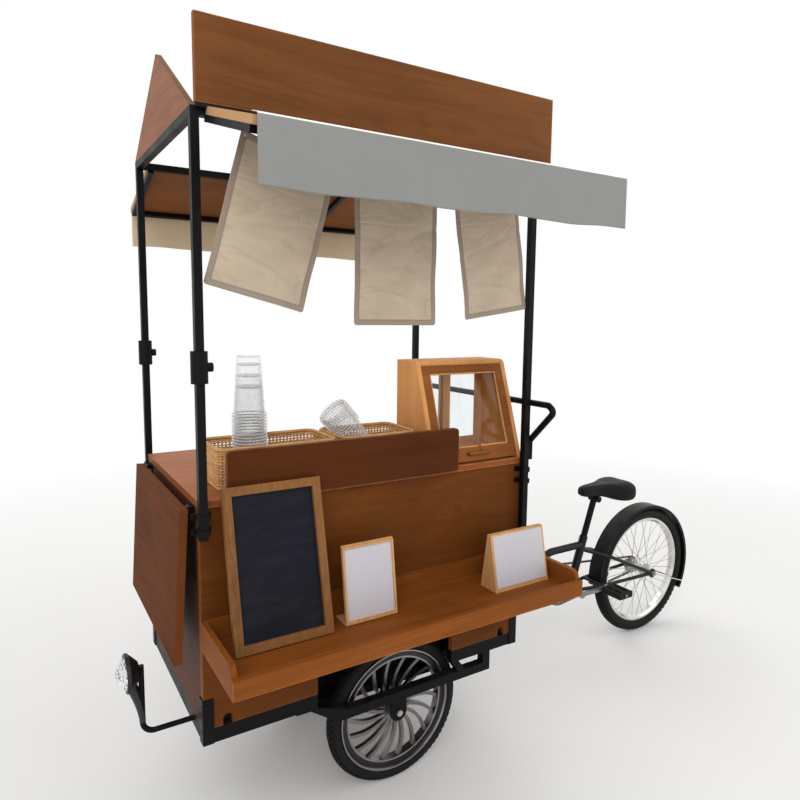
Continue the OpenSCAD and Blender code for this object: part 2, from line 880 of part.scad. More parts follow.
module vendor_skirt() {
    color([0.42, 0.22, 0.1]) place() difference() {
        block([board_t, box_depth - board_t, panel_z], [box_len - board_t, box_depth, floor_z + floor_t]);
        on_vendor_side() wheel_opening();
    }
}

module inner_shelf() {
    bay = counter_low - floor_z - 2 * floor_t;
    z = floor_z + floor_t + bay * shelf_share;
    color([0.5, 0.33, 0.2]) place()
        block([board_t, board_t, z], [box_len - board_t, box_depth - 2 * board_t, z + floor_t]);
}

module counter_top() {
    color([0.68, 0.5, 0.38]) place()
        block([0, -counter_lap, counter_low], [box_len + counter_lap, box_depth + counter_lap, counter_z]);
}

module rail_board() {
    color([0.34, 0.19, 0.1]) place() translate([rail_board_x, 0, counter_z - rail_board_drop])
        xz_plate(-counter_lap - rail_board_t, -counter_lap)
            round_rect(rail_board_len, rail_board_h, rail_board_r);
}

// Serving tray

module tray_bottom() {
    color([0.5, 0.27, 0.12]) place()
        block([tray_x0 + tray_wall, tray_wall - tray_depth, tray_z],
            [tray_x1 - tray_wall, -tray_wall, tray_face]);
}

module tray_walls() {
    y_front = -tray_depth;
    y_cheek = tray_wall - tray_depth;
    z_top = tray_z + cheek_h;
    color([0.45, 0.26, 0.13]) place() {
        block([tray_x0, y_front, tray_z], [tray_x1, y_cheek, tray_z + apron_h]);
        block([tray_x0 + tray_wall, -tray_wall, tray_z], [tray_x1 - tray_wall, 0, z_top]);
        for (x = [tray_x0, tray_x1 - tray_wall])
            yz_plate(x, x + tray_wall) {
                translate([y_cheek, tray_z]) square([tray_depth - tray_wall, cheek_h - cheek_r]);
                translate([y_cheek + cheek_r, tray_z]) square([tray_depth - tray_wall - cheek_r, cheek_h]);
                translate([y_cheek + cheek_r, z_top - cheek_r]) circle(cheek_r);
            }
    }
}

// Posts and roof

module post(x, foot) {
    translate([x - post_w / 2, outer_post_y, foot]) difference() {
        cube([post_w, post_w, post_rise_z - foot]);
        translate([post_wall, post_wall, -over])
            cube([post_w - 2 * post_wall, post_w - 2 * post_wall, post_rise_z - foot + 2 * over]);
    }
}

module posts() {
    color([0.1, 0.1, 0.11]) place() on_both_sides() {
        post(post_lamp_x, post_lamp_foot);
        post(post_bike_x, post_bike_foot);
    }
}

// a strap that holds a post against the box
module clip(x, z) {
    half = post_w / 2 + clip_t;
    difference() {
        union() {
            block([x - half, outer_post_y - clip_t, z], [x + half, 0, z + clip_h]);
            block([x - clip_w / 2, -clip_t, z], [x + clip_w / 2, 0, z + clip_h]);
        }
        block([x - post_w / 2, outer_post_y, z - over], [x + post_w / 2, -post_gap, z + clip_h + over]);
    }
}

// a clamp collar with its knob on a post
module collar(x) {
    difference() {
        union() {
            translate([x, post_y, collar_z - collar_h / 2]) cylinder(h = collar_h, r = collar_r);
            translate([x, post_y, collar_z]) rotate([0, 90, 0]) cylinder(h = collar_r + knob_r, r = knob_r);
        }
        block([x - post_w / 2, outer_post_y, collar_z - collar_h],
            [x + post_w / 2, -post_gap, collar_z + collar_h]);
    }
}

// the fixed half of a leaf bracket, with its pin
module leaf_wall_bracket(y) {
    lug = leaf_arm_t;
    half = leaf_arm_w / 2 + side_gap;
    block([-leaf_arm_t, y - half - lug, leaf_z - leaf_wall_h], [0, y + half + lug, leaf_z + leaf_eye_r]);
    for (s = [y - half - lug, y + half]) {
        y_rod(-leaf_pivot_out, s, s + lug, leaf_z, leaf_eye_r);
        block([-leaf_pivot_out, s, leaf_z - leaf_eye_r], [-leaf_arm_t / 2, s + lug, leaf_z + leaf_eye_r]);
    }
    y_rod(-leaf_pivot_out, y - half - over / 2, y + half + over / 2, leaf_z, leaf_pin_d / 2);
    // stop that holds the hanging leaf off the box
    down = leaf_wall_h - leaf_arm_w;
    reach = leaf_pivot_out + (leaf_pivot_in - leaf_arm_t) * cos(leaf_lean) + down * sin(leaf_lean)
        - end_gap;
    block([-reach, y - half, leaf_z - leaf_wall_h], [-leaf_arm_t / 2, y + half, leaf_z - down]);
}

function leaf_bracket_y(i) = mid_y + (i == 0 ? -1 : 1) * (leaf_len / 2 - leaf_bracket_in);

module steel_fittings() {
    color([0.12, 0.12, 0.13]) place() {
        on_both_sides() {
            for (x = [post_lamp_x, post_bike_x])
                for (z = [clip_low_z, clip_high_z])
                    clip(x, z);
            collar(post_lamp_x);
        }
        for (i = [0, 1])
            leaf_wall_bracket(leaf_bracket_y(i));
    }
}

// the tubes under one eave, in the eave's own slope
module eave_tubes() {
    translate([0, outer_post_y, eave_low_z]) rotate([eave_a, 0, 0]) {
        for (i = [0 : eave_bays]) {
            x = eave_x + i * (eave_len - eave_tube) / eave_bays;
            block([x, -eave_l + eave_tube_in, -eave_tube], [x + eave_tube, post_w / 2, 0]);
        }
        block([eave_x, -eave_l + eave_tube_in, -eave_tube],
            [eave_x + eave_len, -eave_l + eave_tube_in + eave_tube, 0]);
    }
}

module roof_frame() {
    x0 = post_lamp_x - post_w / 2;
    x1 = post_bike_x + post_w / 2;
    last = sign_x + sign_len - strap_in;
    color([0.1, 0.1, 0.11]) place() {
        on_both_sides() {
            block([x0, outer_post_y, post_rise_z],
                [max(x1, eave_x + eave_len, last + strap_w), -post_gap, roof_z]);
            eave_tubes();
        }
        for (x = [x0, x1 - post_w])
            block([x, outer_post_y, post_rise_z], [x + post_w, box_depth - outer_post_y, roof_z]);
        for (x = [sign_x + strap_in, sign_x + sign_len / 2, last])
            block([x - strap_w / 2, outer_post_y, post_rise_z],
                [x + strap_w / 2, outer_post_y + strap_t, roof_z + sign_h - strap_w]);
    }
}

module eave_boards() {
    color([0.4, 0.26, 0.17]) place() on_both_sides()
        translate([eave_x, outer_post_y - side_gap, eave_low_z]) rotate([eave_a, 0, 0])
            translate([0, -eave_l, 0]) cube([eave_len, eave_l, eave_t]);
}

module front_sign() {
    color([0.48, 0.32, 0.2]) place()
        block([sign_x, outer_post_y - sign_t, roof_z + sign_gap],
            [sign_x + sign_len, outer_post_y, roof_z + sign_gap + sign_h]);
}

module gables() {
    x0 = post_lamp_x - post_w / 2;
    x1 = post_bike_x + post_w / 2;
    color([0.58, 0.45, 0.36]) place() for (x = [x0, x1 - gable_t])
        yz_plate(x, x + gable_t)
            polygon([[outer_post_y + strap_t, roof_z], [box_depth - outer_post_y, roof_z],
                [mid_y, roof_z + gable_h]]);
}

// Cloth

// a hanging sheet with soft waves, drawn from its lower edge
module cloth(w, h, wave, waves, steps) {
    front = [for (i = [0 : steps]) [w * i / steps, wave * sin(360 * waves * i / steps)]];
    back = [for (i = [steps : -1 : 0]) [w * i / steps, cloth_t + wave * sin(360 * waves * i / steps)]];
    linear_extrude(height = h) polygon(concat(front, back));
}

module valance() {
    valance_steps = 8 * valance_waves;
    translate([valance_x, -eave_reach, eave_edge_z - valance_h])
        cloth(valance_len, valance_h, valance_wave, valance_waves, valance_steps);
    // top hem that runs back to the eave's edge
    block([valance_x, -eave_reach, eave_edge_z - eave_t / 2],
        [valance_x + valance_len, eave_edge_y, eave_edge_z]);
}

module serving_valance() {
    color([0.7, 0.7, 0.68]) place() valance();
}

module vendor_valance() {
    color([0.78, 0.72, 0.62]) place() on_vendor_side() valance();
}

// a banner hung by two tapes from the roof rail, turned about its middle
module banner(x, z, w, h, turn) {
    banner_steps = 12;
    hang = [for (s = [-1, 1]) [x + s * (w / 2 - tape_in) * cos(turn) - (h / 2 - tape_in) * sin(turn),
        z + s * (w / 2 - tape_in) * sin(turn) + (h / 2 - tape_in) * cos(turn)]];
    translate([x, post_y - cloth_t / 2, z]) rotate([0, -turn, 0]) translate([-w / 2, 0, -h / 2])
        cloth(w, h, banner_wave, 1, banner_steps);
    for (p = hang)
        block([p[0] - tape_w / 2, post_y - cloth_t / 2, p[1]],
            [p[0] + tape_w / 2, post_y + cloth_t / 2, post_rise_z]);
}

module lamp_end_banner() {
    color([0.82, 0.71, 0.56]) place() banner(banner_a_x, banner_a_z, banner_a_w, banner_a_h, banner_a_turn);
}

module middle_banner() {
    color([0.82, 0.71, 0.56]) place() banner(banner_b_x, banner_b_z, banner_b_w, banner_b_h, 0);
}

module bike_end_banner() {
    color([0.82, 0.71, 0.56]) place()
        banner(post_bike_x - banner_c_in, banner_c_z, banner_c_w, banner_c_h, banner_c_turn);
}

// Push handle

module push_handle() {
    x = post_bike_x + post_w / 2 + handle_d / 2 + bend_step;
    y_tip = post_y - handle_reach;
    z_tip = handle_z - handle_bend * 2 / 3;
    half = [[x, post_y, handle_low_z - handle_leg], [x, post_y, handle_low_z], [x, y_tip, z_tip],
        [x, y_tip + handle_bend, handle_z],
        [x, mid_y, handle_z]];
    color([0.1, 0.1, 0.11]) place() on_both_sides() bent_rod(half, handle_d / 2, handle_bend / 2);
}

// Cabinet

module cabinet_side(x) {
    yz_plate(x, x + cabinet_t) polygon([[0, counter_z], [cabinet_y1, counter_z], [cabinet_y1, cabinet_z1],
        [cabinet_top_y, cabinet_z1]]);
}

module cabinet_case() {
    color([0.72, 0.52, 0.33]) place() {
        cabinet_side(cabinet_x0);
        difference() {
            cabinet_side(cabinet_x1 - cabinet_t);
            // rounded upper corner at the bicycle end
            difference() {
                block([cabinet_x1 - cabinet_r, -over, cabinet_z1 - cabinet_r],
                    [cabinet_x1 + over, cabinet_y1 + over, cabinet_z1 + over]);
                y_rod(cabinet_x1 - cabinet_r, -2 * over, cabinet_y1 + 2 * over, cabinet_z1 - cabinet_r,
                    cabinet_r);
            }
        }
        block([front_x0, cabinet_top_y, cabinet_z1 - cabinet_t],
            [front_x0 + front_w, cabinet_y1, cabinet_z1]);
        block([front_x0, front_back_y, counter_z], [front_x0 + front_w, cabinet_y1, door_z0]);
        // lips that the doors slide between
        for (y = [door_a[1] - side_gap - track_t, cabinet_y1 - track_t])
            for (z = [door_z0, door_z0 + door_h - track_h])
                block([front_x0, y, z], [front_x0 + front_w, y + track_t, z + track_h]);
    }
}

// puts a piece on the sloped front, whose lower outer edge runs along X
module on_front() {
    translate([front_x0, 0, counter_z]) rotate([-front_a, 0, 0]) children();
}

module cabinet_front() {
    z0 = cabinet_t - front_t / 2;
    color([0.47, 0.27, 0.13]) place() on_front() difference() {
        block([0, 0, z0], [front_w, front_t, front_len]);
        block([stile_w, -over, z0 + low_rail_w],
            [front_w - stile_w, front_t + over, front_len - top_rail_w]);
        block([stile_w - rebate, front_t / 2, z0 + low_rail_w - rebate],
            [front_w - stile_w + rebate, front_t + over, front_len - top_rail_w + rebate]);
    }
}

module cabinet_front_glass() {
    z0 = cabinet_t - front_t / 2;
    color([0.75, 0.85, 0.86, 0.35]) place() on_front()
        block([stile_w - rebate + side_gap, front_t / 2, z0 + low_rail_w - rebate + side_gap],
            [front_w - stile_w + rebate - side_gap, front_t / 2 + pane_t, front_len - top_rail_w + rebate
                - side_gap]);
}

module cabinet_pull() {
    z = cabinet_t - front_t / 2 + low_rail_w / 2;
    color([0.75, 0.6, 0.3]) place() on_front() {
        bent_rod([[(front_w - pull_len) / 2, 0, z], [(front_w - pull_len) / 2, -pull_out, z],
            [(front_w + pull_len) / 2, -pull_out, z],
            [(front_w + pull_len) / 2, 0, z]], pull_d / 2, pull_d);
    }
}

module door(x, y) {
    difference() {
        block([x, y, door_z0 + side_gap], [x + door_w, y + door_t, door_z0 + door_h - side_gap]);
        block([x + door_frame, y - over, door_z0 + door_frame],
            [x + door_w - door_frame, y + door_t + over, door_z0 + door_h - door_frame]);
        block([x + door_frame - rebate, y + door_t / 2, door_z0 + door_frame - rebate],
            [x + door_w - door_frame + rebate, y + door_t + over, door_z0 + door_h - door_frame + rebate]);
    }
}

module pane(x, y) {
    block([x + door_frame - rebate + side_gap, y + door_t / 2, door_z0 + door_frame - rebate + side_gap],
        [x + door_w - door_frame + rebate - side_gap, y + door_t / 2 + pane_t, door_z0 + door_h
            - door_frame + rebate - side_gap]);
}

module left_door() {
    color([0.5, 0.33, 0.2]) place() door(door_a[0], door_a[1]);
}

module left_pane() {
    color([0.75, 0.85, 0.86, 0.35]) place() pane(door_a[0], door_a[1]);
}

module right_door() {
    color([0.5, 0.33, 0.2]) place() door(door_b[0], door_b[1]);
}

module right_pane() {
    color([0.75, 0.85, 0.86, 0.35]) place() pane(door_b[0], door_b[1]);
}

// Dressing

module basket(x, w) {
    translate([x, basket_in, counter_z]) {
        linear_extrude(height = basket_floor) round_rect(w, basket_depth, basket_r);
        difference() {
            linear_extrude(height = basket_h) round_rect(w, basket_depth, basket_r);
            translate([basket_wall, basket_wall, -over]) linear_extrude(height = basket_h + 2 * over)
                round_rect(w - 2 * basket_wall, basket_depth - 2 * basket_wall, basket_r - basket_wall);
        }
        // rolled rim
        bead_in = basket_wall / 2;
        for (y = [bead_in, basket_depth - bead_in])
            rod([basket_r, y, basket_h], [w - basket_r, y, basket_h], basket_bead);
        for (e = [bead_in, w - bead_in])
            rod([e, basket_r, basket_h], [e, basket_depth - basket_r, basket_h], basket_bead);
        for (c = [[basket_r, basket_r, 180], [w - basket_r, basket_r, 270],
            [w - basket_r, basket_depth - basket_r, 0], [basket_r, basket_depth - basket_r, 90]])
            translate([c[0], c[1], basket_h]) rotate([0, 0, c[2]]) rotate_extrude(angle = 90)
                translate([basket_r - bead_in, 0]) circle(basket_bead);
    }
}

module baskets() {
    color([0.72, 0.55, 0.35]) place() {
        basket(basket_a_x, basket_a_len);
        basket(basket_b_x, basket_b_len);
    }
}

// stacks of nested cups, each as one turned solid
module cups() {
    base = counter_z + basket_floor;
    y = basket_in + basket_depth / 2;
    r = cup_d / 2;
    foot = cup_foot_d / 2;
    lip = cup_d * cup_lip_share;
    lean_z = base + foot * sin(cup_lean);
    // the leaning stack rests on the basket's rim
    rest = r - lip + basket_bead + end_gap / 2;
    lean_x = basket_b_x + basket_wall / 2
        + (rest + (counter_z + basket_h - lean_z) * sin(cup_lean)) / cos(cup_lean);
    color([0.85, 0.83, 0.78]) place() {
        // the standing stack, mouths down
        translate([basket_a_x + basket_a_len / 3, y, base]) rotate_extrude()
            polygon([[0, 0], [r, 0], [r, cup_rims_h], [r - lip, cup_rims_h], [foot, cup_rims_h + cup_top_h],
                [0, cup_rims_h + cup_top_h]]);
        translate([lean_x, y, lean_z]) rotate([0, -cup_lean, 0]) rotate_extrude()
            polygon([[0, 0], [foot, 0], [r - lip, cup_lean_len / 2], [r - lip, cup_lean_len - 2 * lip],
                [r, cup_lean_len - 2 * lip], [r, cup_lean_len], [0, cup_lean_len]]);
    }
}

// puts a piece on the leaning chalkboard
module on_chalkboard() {
    translate([chalk_x, chalk_y, tray_face]) rotate([-chalk_lean, 0, 0]) translate([0, -chalk_t, 0])
        children();
}

module chalkboard_frame() {
    color([0.6, 0.45, 0.32]) place() on_chalkboard() difference() {
        cube([chalk_w, chalk_t, chalk_len]);
        translate([chalk_frame, -over, chalk_frame])
            cube([chalk_w - 2 * chalk_frame, chalk_t + 2 * over, chalk_len - 2 * chalk_frame]);
        translate([chalk_frame - rebate, chalk_t / 2, chalk_frame - rebate])
            cube([chalk_w - 2 * chalk_frame + 2 * rebate, chalk_t, chalk_len - 2 * chalk_frame
                + 2 * rebate]);
    }
}

module chalkboard_panel() {
    color([0.1, 0.1, 0.12]) place() on_chalkboard()
        translate([chalk_frame - rebate + side_gap, chalk_t / 2, chalk_frame - rebate + side_gap])
        cube([chalk_w - 2 * chalk_frame + 2 * (rebate - side_gap), chalk_panel, chalk_len
            - 2 * chalk_frame + 2 * (rebate - side_gap)]);
}

module card_holder() {
    lean = tan(card_lean);
    back = card_t / cos(card_lean);
    color([0.8, 0.7, 0.55]) place() yz_plate(card_x, card_x + card_w)
        translate([-card_out, tray_face]) polygon([[0, 0], [card_foot, 0], [card_foot, card_t],
            [back + card_t * lean, card_t], [back + card_h * lean, card_h], [card_h * lean, card_h]]);
}

module wedge_card_holder() {
    color([0.85, 0.82, 0.76]) place() yz_plate(wedge_x, wedge_x + wedge_len)
        polygon([[-wedge_out - wedge_depth, tray_face], [-wedge_out, tray_face],
            [-wedge_out - wedge_depth / 3, tray_face + wedge_h],
            [-wedge_out - wedge_depth / 3 - wedge_top, tray_face + wedge_h]]);
}

// Lamp

module lamp_arm() {
    x = lamp_depth - lamp_reach + lamp_arm_d / 2;
    color([0.1, 0.1, 0.11]) place()
        bent_rod([[0, lamp_y, lamp_foot_z], [x, lamp_y, lamp_foot_z],
            [x, lamp_y, lamp_z + lamp_back_r / 2]], lamp_arm_d / 2, lamp_bend);
}

// puts a turned piece on the lamp's axis, which points away from the box
module on_lamp() {
    translate([-lamp_reach, lamp_y, lamp_z]) rotate([0, 90, 0]) children();
}

module lamp_shell() {
    r = lamp_d / 2;
    inner = r - lamp_wall;
    rim = lens_h - 2 * lamp_wall;
    color([0.08, 0.08, 0.09]) place() on_lamp() rotate_extrude()
        polygon([[inner, rim], [r, rim], [r, lens_h + lamp_wall], [lamp_back_r, lamp_depth],
            [0, lamp_depth], [0, lamp_depth - lamp_wall],
            [lamp_back_r - lamp_wall, lamp_depth - lamp_wall], [inner, lens_h]]);
}

module lamp_lens() {
    r = lamp_d / 2 - lamp_wall - run_fit;
    color([0.9, 0.92, 0.95, 0.4]) place() on_lamp() rotate_extrude()
        polygon([[0, 0], [r / 3, 0], [r, lens_h - 2 * lamp_wall], [r, lens_h], [0, lens_h]]);
}

// Steering pin

module steering_pin() {
    translate([head_x, mid_y, 0]) {
        translate([0, 0, base_z - nut_h - over])
            cylinder(h = head_top - base_z + nut_h + over + pin_head_h, r = pin_r);
        translate([0, 0, head_top]) cylinder(h = pin_head_h, r = pin_head_r);
        translate([0, 0, base_z - nut_h]) cylinder(h = nut_h, r = pin_head_r, $fn = 6);
    }
}

// Drop leaf

// puts a piece on the hanging leaf: Z up from the pivot, X away from the box's end
module on_leaf() {
    translate([-leaf_pivot_out, 0, leaf_z]) rotate([0, leaf_lean, 0]) mirror([1, 0, 0]) children();
}

module drop_leaf() {
    color([0.46, 0.26, 0.15]) place() on_leaf()
        block([leaf_pivot_in, mid_y - leaf_len / 2, leaf_head - leaf_w],
            [leaf_pivot_in + leaf_t, mid_y + leaf_len / 2, leaf_head]);
}

module leaf_arms() {
    color([0.12, 0.12, 0.13]) place() on_leaf() for (i = [0, 1]) difference() {
        y0 = leaf_bracket_y(i) - leaf_arm_w / 2;
        union() {
            block([leaf_pivot_in - leaf_arm_t, y0, -leaf_arm_len],
                [leaf_pivot_in, y0 + leaf_arm_w, leaf_head]);
            y_rod(0, y0, y0 + leaf_arm_w, 0, leaf_eye_r);
        }
        y_rod(0, y0 - over, y0 + leaf_arm_w + over, 0, leaf_pin_d / 2 + run_fit);
    }
}

// Front wheels

// one swept spoke: an arc band cut off inside the hub and inside the rim
module curved_spoke() {
    a = [hub_r - over * 2, 0];
    b = (rim_r - rim_h + over) * [cos(spoke_turn), sin(spoke_turn)];
    chord = b - a;
    n = [-chord[1], chord[0]] / norm(chord);
    c = (a + b) / 2 - n * sqrt(spoke_curve * spoke_curve - chord * chord / 4);
    linear_extrude(height = spoke_t, center = true) intersection() {
        difference() {
            translate(c) circle(spoke_curve + spoke_w / 2);
            translate(c) circle(spoke_curve - spoke_w / 2);
        }
        polygon([a - n * hub_r, b - n * hub_r, b + n * 2 * hub_r, a + n * 2 * hub_r]);
    }
}

module alloy_wheel() {
    difference() {
        union() {
            for (i = [0 : spoke_n - 1])
                rotate([0, 0, i * 360 / spoke_n]) curved_spoke();
            cylinder(h = hub_drum_w, r = hub_r, center = true);
            cylinder(h = hub_w, r = hub_nose_r, center = true);
            rotate_extrude() polygon([[rim_r - rim_h, -rim_web / 2], [rim_r - rim_h / 3, -rim_web / 2],
                [rim_r - rim_h / 6, -rim_w / 2],
                [rim_r, -rim_w / 2], [rim_r, rim_w / 2], [rim_r - rim_h / 6, rim_w / 2],
                    [rim_r - rim_h / 3, rim_web / 2],
                [rim_r - rim_h, rim_web / 2]]);
        }
        cylinder(h = hub_w + 2 * over, r = axle_r + run_fit, center = true);
    }
}

// a solid tyre seated on a rim
module tyre(r, w, seat) {
    rotate_extrude() difference() {
        translate([r - w / 2, 0]) circle(w / 2);
        translate([0, -w]) square([seat, 2 * w]);
    }
}

module on_front_axle() {
    translate([wheel_x, wheel_in, wheel_r]) rotate([90, 0, 0]) children();
}

module serving_wheel() {
    color([0.6, 0.6, 0.62]) place() on_front_axle() alloy_wheel();
}

module serving_tyre() {
    color([0.05, 0.05, 0.05]) place() on_front_axle() tyre(wheel_r, tyre_w, rim_r);
}

module vendor_wheel() {
    color([0.6, 0.6, 0.62]) place() on_vendor_side() on_front_axle() alloy_wheel();
}

module vendor_tyre() {
    color([0.05, 0.05, 0.05]) place() on_vendor_side() on_front_axle() tyre(wheel_r, tyre_w, rim_r);
}

// Bicycle half

module half_stays(s) {
    m = [0, s, 0];
    stay_r = stay_d / 2;
    tyre_x = drive_x - drive_r - shell_d / 2;
    seat_low = bb + seat_dir * seat_tube_len * 3 / 4;
    low = [bb + m * shell_w / 3, [tyre_x, mid_y + s * stay_mid, drive_z],
        [drive_x, mid_y + s * stay_out, drive_z]];
    high = [seat_low + m * tube_r / 2, [tyre_x + shell_d, mid_y + s * seat_stay_mid, seat_low[2] - shell_d],
        [drive_x, mid_y + s * stay_out, drive_z]];
    bent_rod(low, stay_r, stay_bend);
    bent_rod(high, stay_r, stay_bend);
    // dropout
    y0 = mid_y + s * stay_out - dropout_t / 2;
    y_rod(drive_x, y0, y0 + dropout_t, drive_z, dropout_r);
}

module bike_frame() {
    head = [head_x, mid_y, 0];
    main_r = main_tube_d / 2;
    main_end = bb + seat_dir * ((main_high_z - drive_z) / sin(seat_slope));
    guard_touch = drive_x - guard_r - guard_t - stay_d / 2;
    color([0.08, 0.08, 0.09]) place() difference() {
        union() {
            translate(head + [0, 0, base_z + ear_t + side_gap])
                cylinder(h = ear_high_z - base_z - ear_t - 2 * side_gap, d = head_d);
            bent_rod([head + [0, 0, main_low_z], head + [main_rise_a, 0, main_low_z], head
                + [main_rise_b, 0, main_high_z], main_end], main_r, main_bend);
            rod(head + [0, 0, low_tube_z], bb, low_tube_d / 2);
            rod(bb, seat_top, tube_r);
            y_rod(bb_x, mid_y - shell_w / 2, mid_y + shell_w / 2, drive_z, shell_d / 2);
            for (s = [-1, 1])
                half_stays(s);
            // bridge that carries the mudguard's front end
            y_rod(guard_touch, mid_y - stay_mid, mid_y + stay_mid, drive_z, stay_d / 2);
        }
        translate(head) cylinder(h = head_top, r = pin_r + run_fit);
        rod(seat_top - seat_dir * (seat_post_in + seat_tube_d), seat_top + seat_dir * over,
            seat_post_d / 2 + run_fit);
        y_rod(bb_x, mid_y - shell_w, mid_y + shell_w, drive_z, spindle_d / 2 + run_fit);
        y_rod(drive_x, mid_y - 2 * stay_out, mid_y + 2 * stay_out, drive_z, drive_axle_d / 2 + run_fit);
        // room for the hub's ends between the dropouts
        y_rod(drive_x, mid_y - stay_out + dropout_t / 2, mid_y + stay_out - dropout_t / 2, drive_z,
            drive_hub_r + over);
        // room for the nuts outside the dropouts
        for (y = [mid_y - 2 * stay_out, mid_y + stay_out + dropout_t / 2])
            y_rod(drive_x, y, y + stay_out - dropout_t / 2, drive_z, dropout_r + over);
    }
}

module on_drive_axle() {
    translate([drive_x, mid_y, drive_z]) rotate([90, 0, 0]) children();
}

module mudguard() {
    half = guard_w / 2;
    color([0.06, 0.06, 0.07]) place() on_drive_axle() rotate([0, 0, guard_rear])
        rotate_extrude(angle = guard_front - guard_rear)
            polygon([[guard_r, -half + guard_t], [guard_r - guard_lip, -half + guard_t],
            [guard_r - guard_lip, -half], [guard_r + guard_t, -half], [guard_r + guard_t, half],
                [guard_r - guard_lip, half],
            [guard_r - guard_lip, half - guard_t], [guard_r, half - guard_t]]);
}

module mudguard_stays() {
    r = guard_stay_d / 2;
    far = guard_r - guard_lip / 2;
    near = dropout_r + 2 * guard_stay_d;
    eye_y = stay_out + dropout_t / 2 + r;
    along = [cos(guard_stay_a), 0, sin(guard_stay_a)];
    color([0.75, 0.75, 0.77]) place() for (s = [-1, 1])
        translate([drive_x, mid_y, drive_z]) difference() {
            union() {
                bent_rod([[0, s * eye_y, 0], along * near + [0, s * eye_y, 0],
                    along * far + [0, s * (guard_w / 2 + r), 0]], r, stay_bend);
                y_rod(0, s * eye_y - r, s * eye_y + r, 0, drive_axle_d);
            }
            y_rod(0, -2 * stay_out, 2 * stay_out, 0, drive_axle_d / 2 + run_fit);
        }
}

// one side plate of the chain: a band round each toothed wheel and two straight runs
module chain_plate(y) {
    s = sin(chain_a);
    c = cos(chain_a);
    band = link_h / 2 + bend_step;
    translate([0, y + link_t, 0]) rotate([90, 0, 0]) {
        for (k = [0, 1])
            mirror([0, k, 0]) translate([ring_r * s, ring_r * c, 0]) rotate([0, 0, -chain_a])
                translate([-over / 2, -link_h / 2, 0]) cube([chain_run + over, link_h, link_t]);
        rotate([0, 0, 90 - chain_a]) rotate_extrude(angle = 180 + 2 * chain_a)
            translate([ring_r - band, 0]) square([2 * band, link_t]);
        translate([stay_len, 0, 0]) rotate([0, 0, chain_a - 90]) rotate_extrude(angle = 180 - 2 * chain_a)
            translate([sprocket_r - band, 0]) square([2 * band, link_t]);
    }
}

module chain() {
    y0 = mid_y + chain_out - link_gap / 2;
    start = chain_run * roller_start_share;
    run_n = floor(chain_run * roller_run_share / chain_pitch);
    color([0.35, 0.33, 0.3]) place() translate([bb_x, 0, drive_z]) {
        chain_plate(y0 - link_t);
        chain_plate(y0 + link_gap);
        // rollers on the two free runs
        for (s = [-1, 1])
            for (i = [0 : 2 : run_n]) {
                t = ring_r * sin(chain_a) + (start + i * chain_pitch) * cos(chain_a);
                z = ring_r * cos(chain_a) - (start + i * chain_pitch) * sin(chain_a);
                y_rod(t, y0 - link_t / 2, y0 + link_gap + link_t / 2, s * z, link_h / 3);
            }
    }
}

module seat_post() {
    color([0.75, 0.75, 0.77]) place() {
        rod(seat_top - seat_dir * seat_post_in, seat_head - seat_dir * seat_post_d / 2, seat_post_d / 2);
        // clamp under the saddle
        y_rod(seat_head[0], mid_y - seat_post_d, mid_y + seat_post_d, seat_head[2] - seat_post_d / 2,
            seat_post_d / 2);
    }
}

module saddle() {
    rear_r = saddle_h / 2 - over;
    nose_r = saddle_nose_r;
    rear_y = saddle_w / 2 - rear_r;
    rear_x = saddle_x0 + saddle_len - rear_r;
    top = saddle_z + saddle_h;
    color([0.05, 0.05, 0.05]) place() hull() {
        for (s = [-1, 1])
            translate([rear_x, mid_y + s * rear_y, top - rear_r]) sphere(rear_r, $fn = 32);
        translate([saddle_x0 + nose_r, mid_y, top - nose_r]) sphere(nose_r, $fn = 32);
        translate([seat_head[0] + nose_r, mid_y, saddle_z])
            cylinder(h = saddle_h / 2, r = nose_r * 2, $fn = 32);
    }
}

// Drive wheel

module drive_tyre() {
    color([0.05, 0.05, 0.05]) place() on_drive_axle() tyre(drive_r, drive_tyre_w, drive_rim_r);
}

module drive_rim() {
    h = drive_rim_h;
    w = drive_rim_w / 2;
    color([0.75, 0.74, 0.7]) place() on_drive_axle() rotate_extrude()
        polygon([[drive_rim_r - h, -w / 2], [drive_rim_r - h / 2, -w], [drive_rim_r, -w],
            [drive_rim_r, w], [drive_rim_r - h / 2, w],
            [drive_rim_r - h, w / 2]]);
}

// a wheel with square-cut teeth, drawn about the origin
module toothed(r, n) {
    tooth_w = chain_pitch / 3;
    cut = link_h / 3;
    circle(r - cut);
    for (i = [0 : n - 1])
        rotate([0, 0, (i + 1 / 2) * 360 / n]) translate([0, -tooth_w / 2]) square([r + cut / 2, tooth_w]);
}

module wire_spokes() {
    r_in = flange_r - 2 * wire_d;
    r_out = drive_rim_r - drive_rim_h - end_gap;
    half_n = wire_n / 2;
    cross_turn = 360 / half_n * 2;
    for (s = [-1, 1])
        for (i = [0 : half_n - 1]) {
            d = i % 2 == 0 ? 1 : -1;
            a = i * 360 / half_n + (s + 1) * 90 / half_n;
            y = s * (flange_out + d * (flange_t / 2));
            rod([r_in * cos(a), r_in * sin(a), y],
                [r_out * cos(a + d * cross_turn), r_out * sin(a + d * cross_turn), s * d * wire_d],
                    wire_d / 2);
        }
}

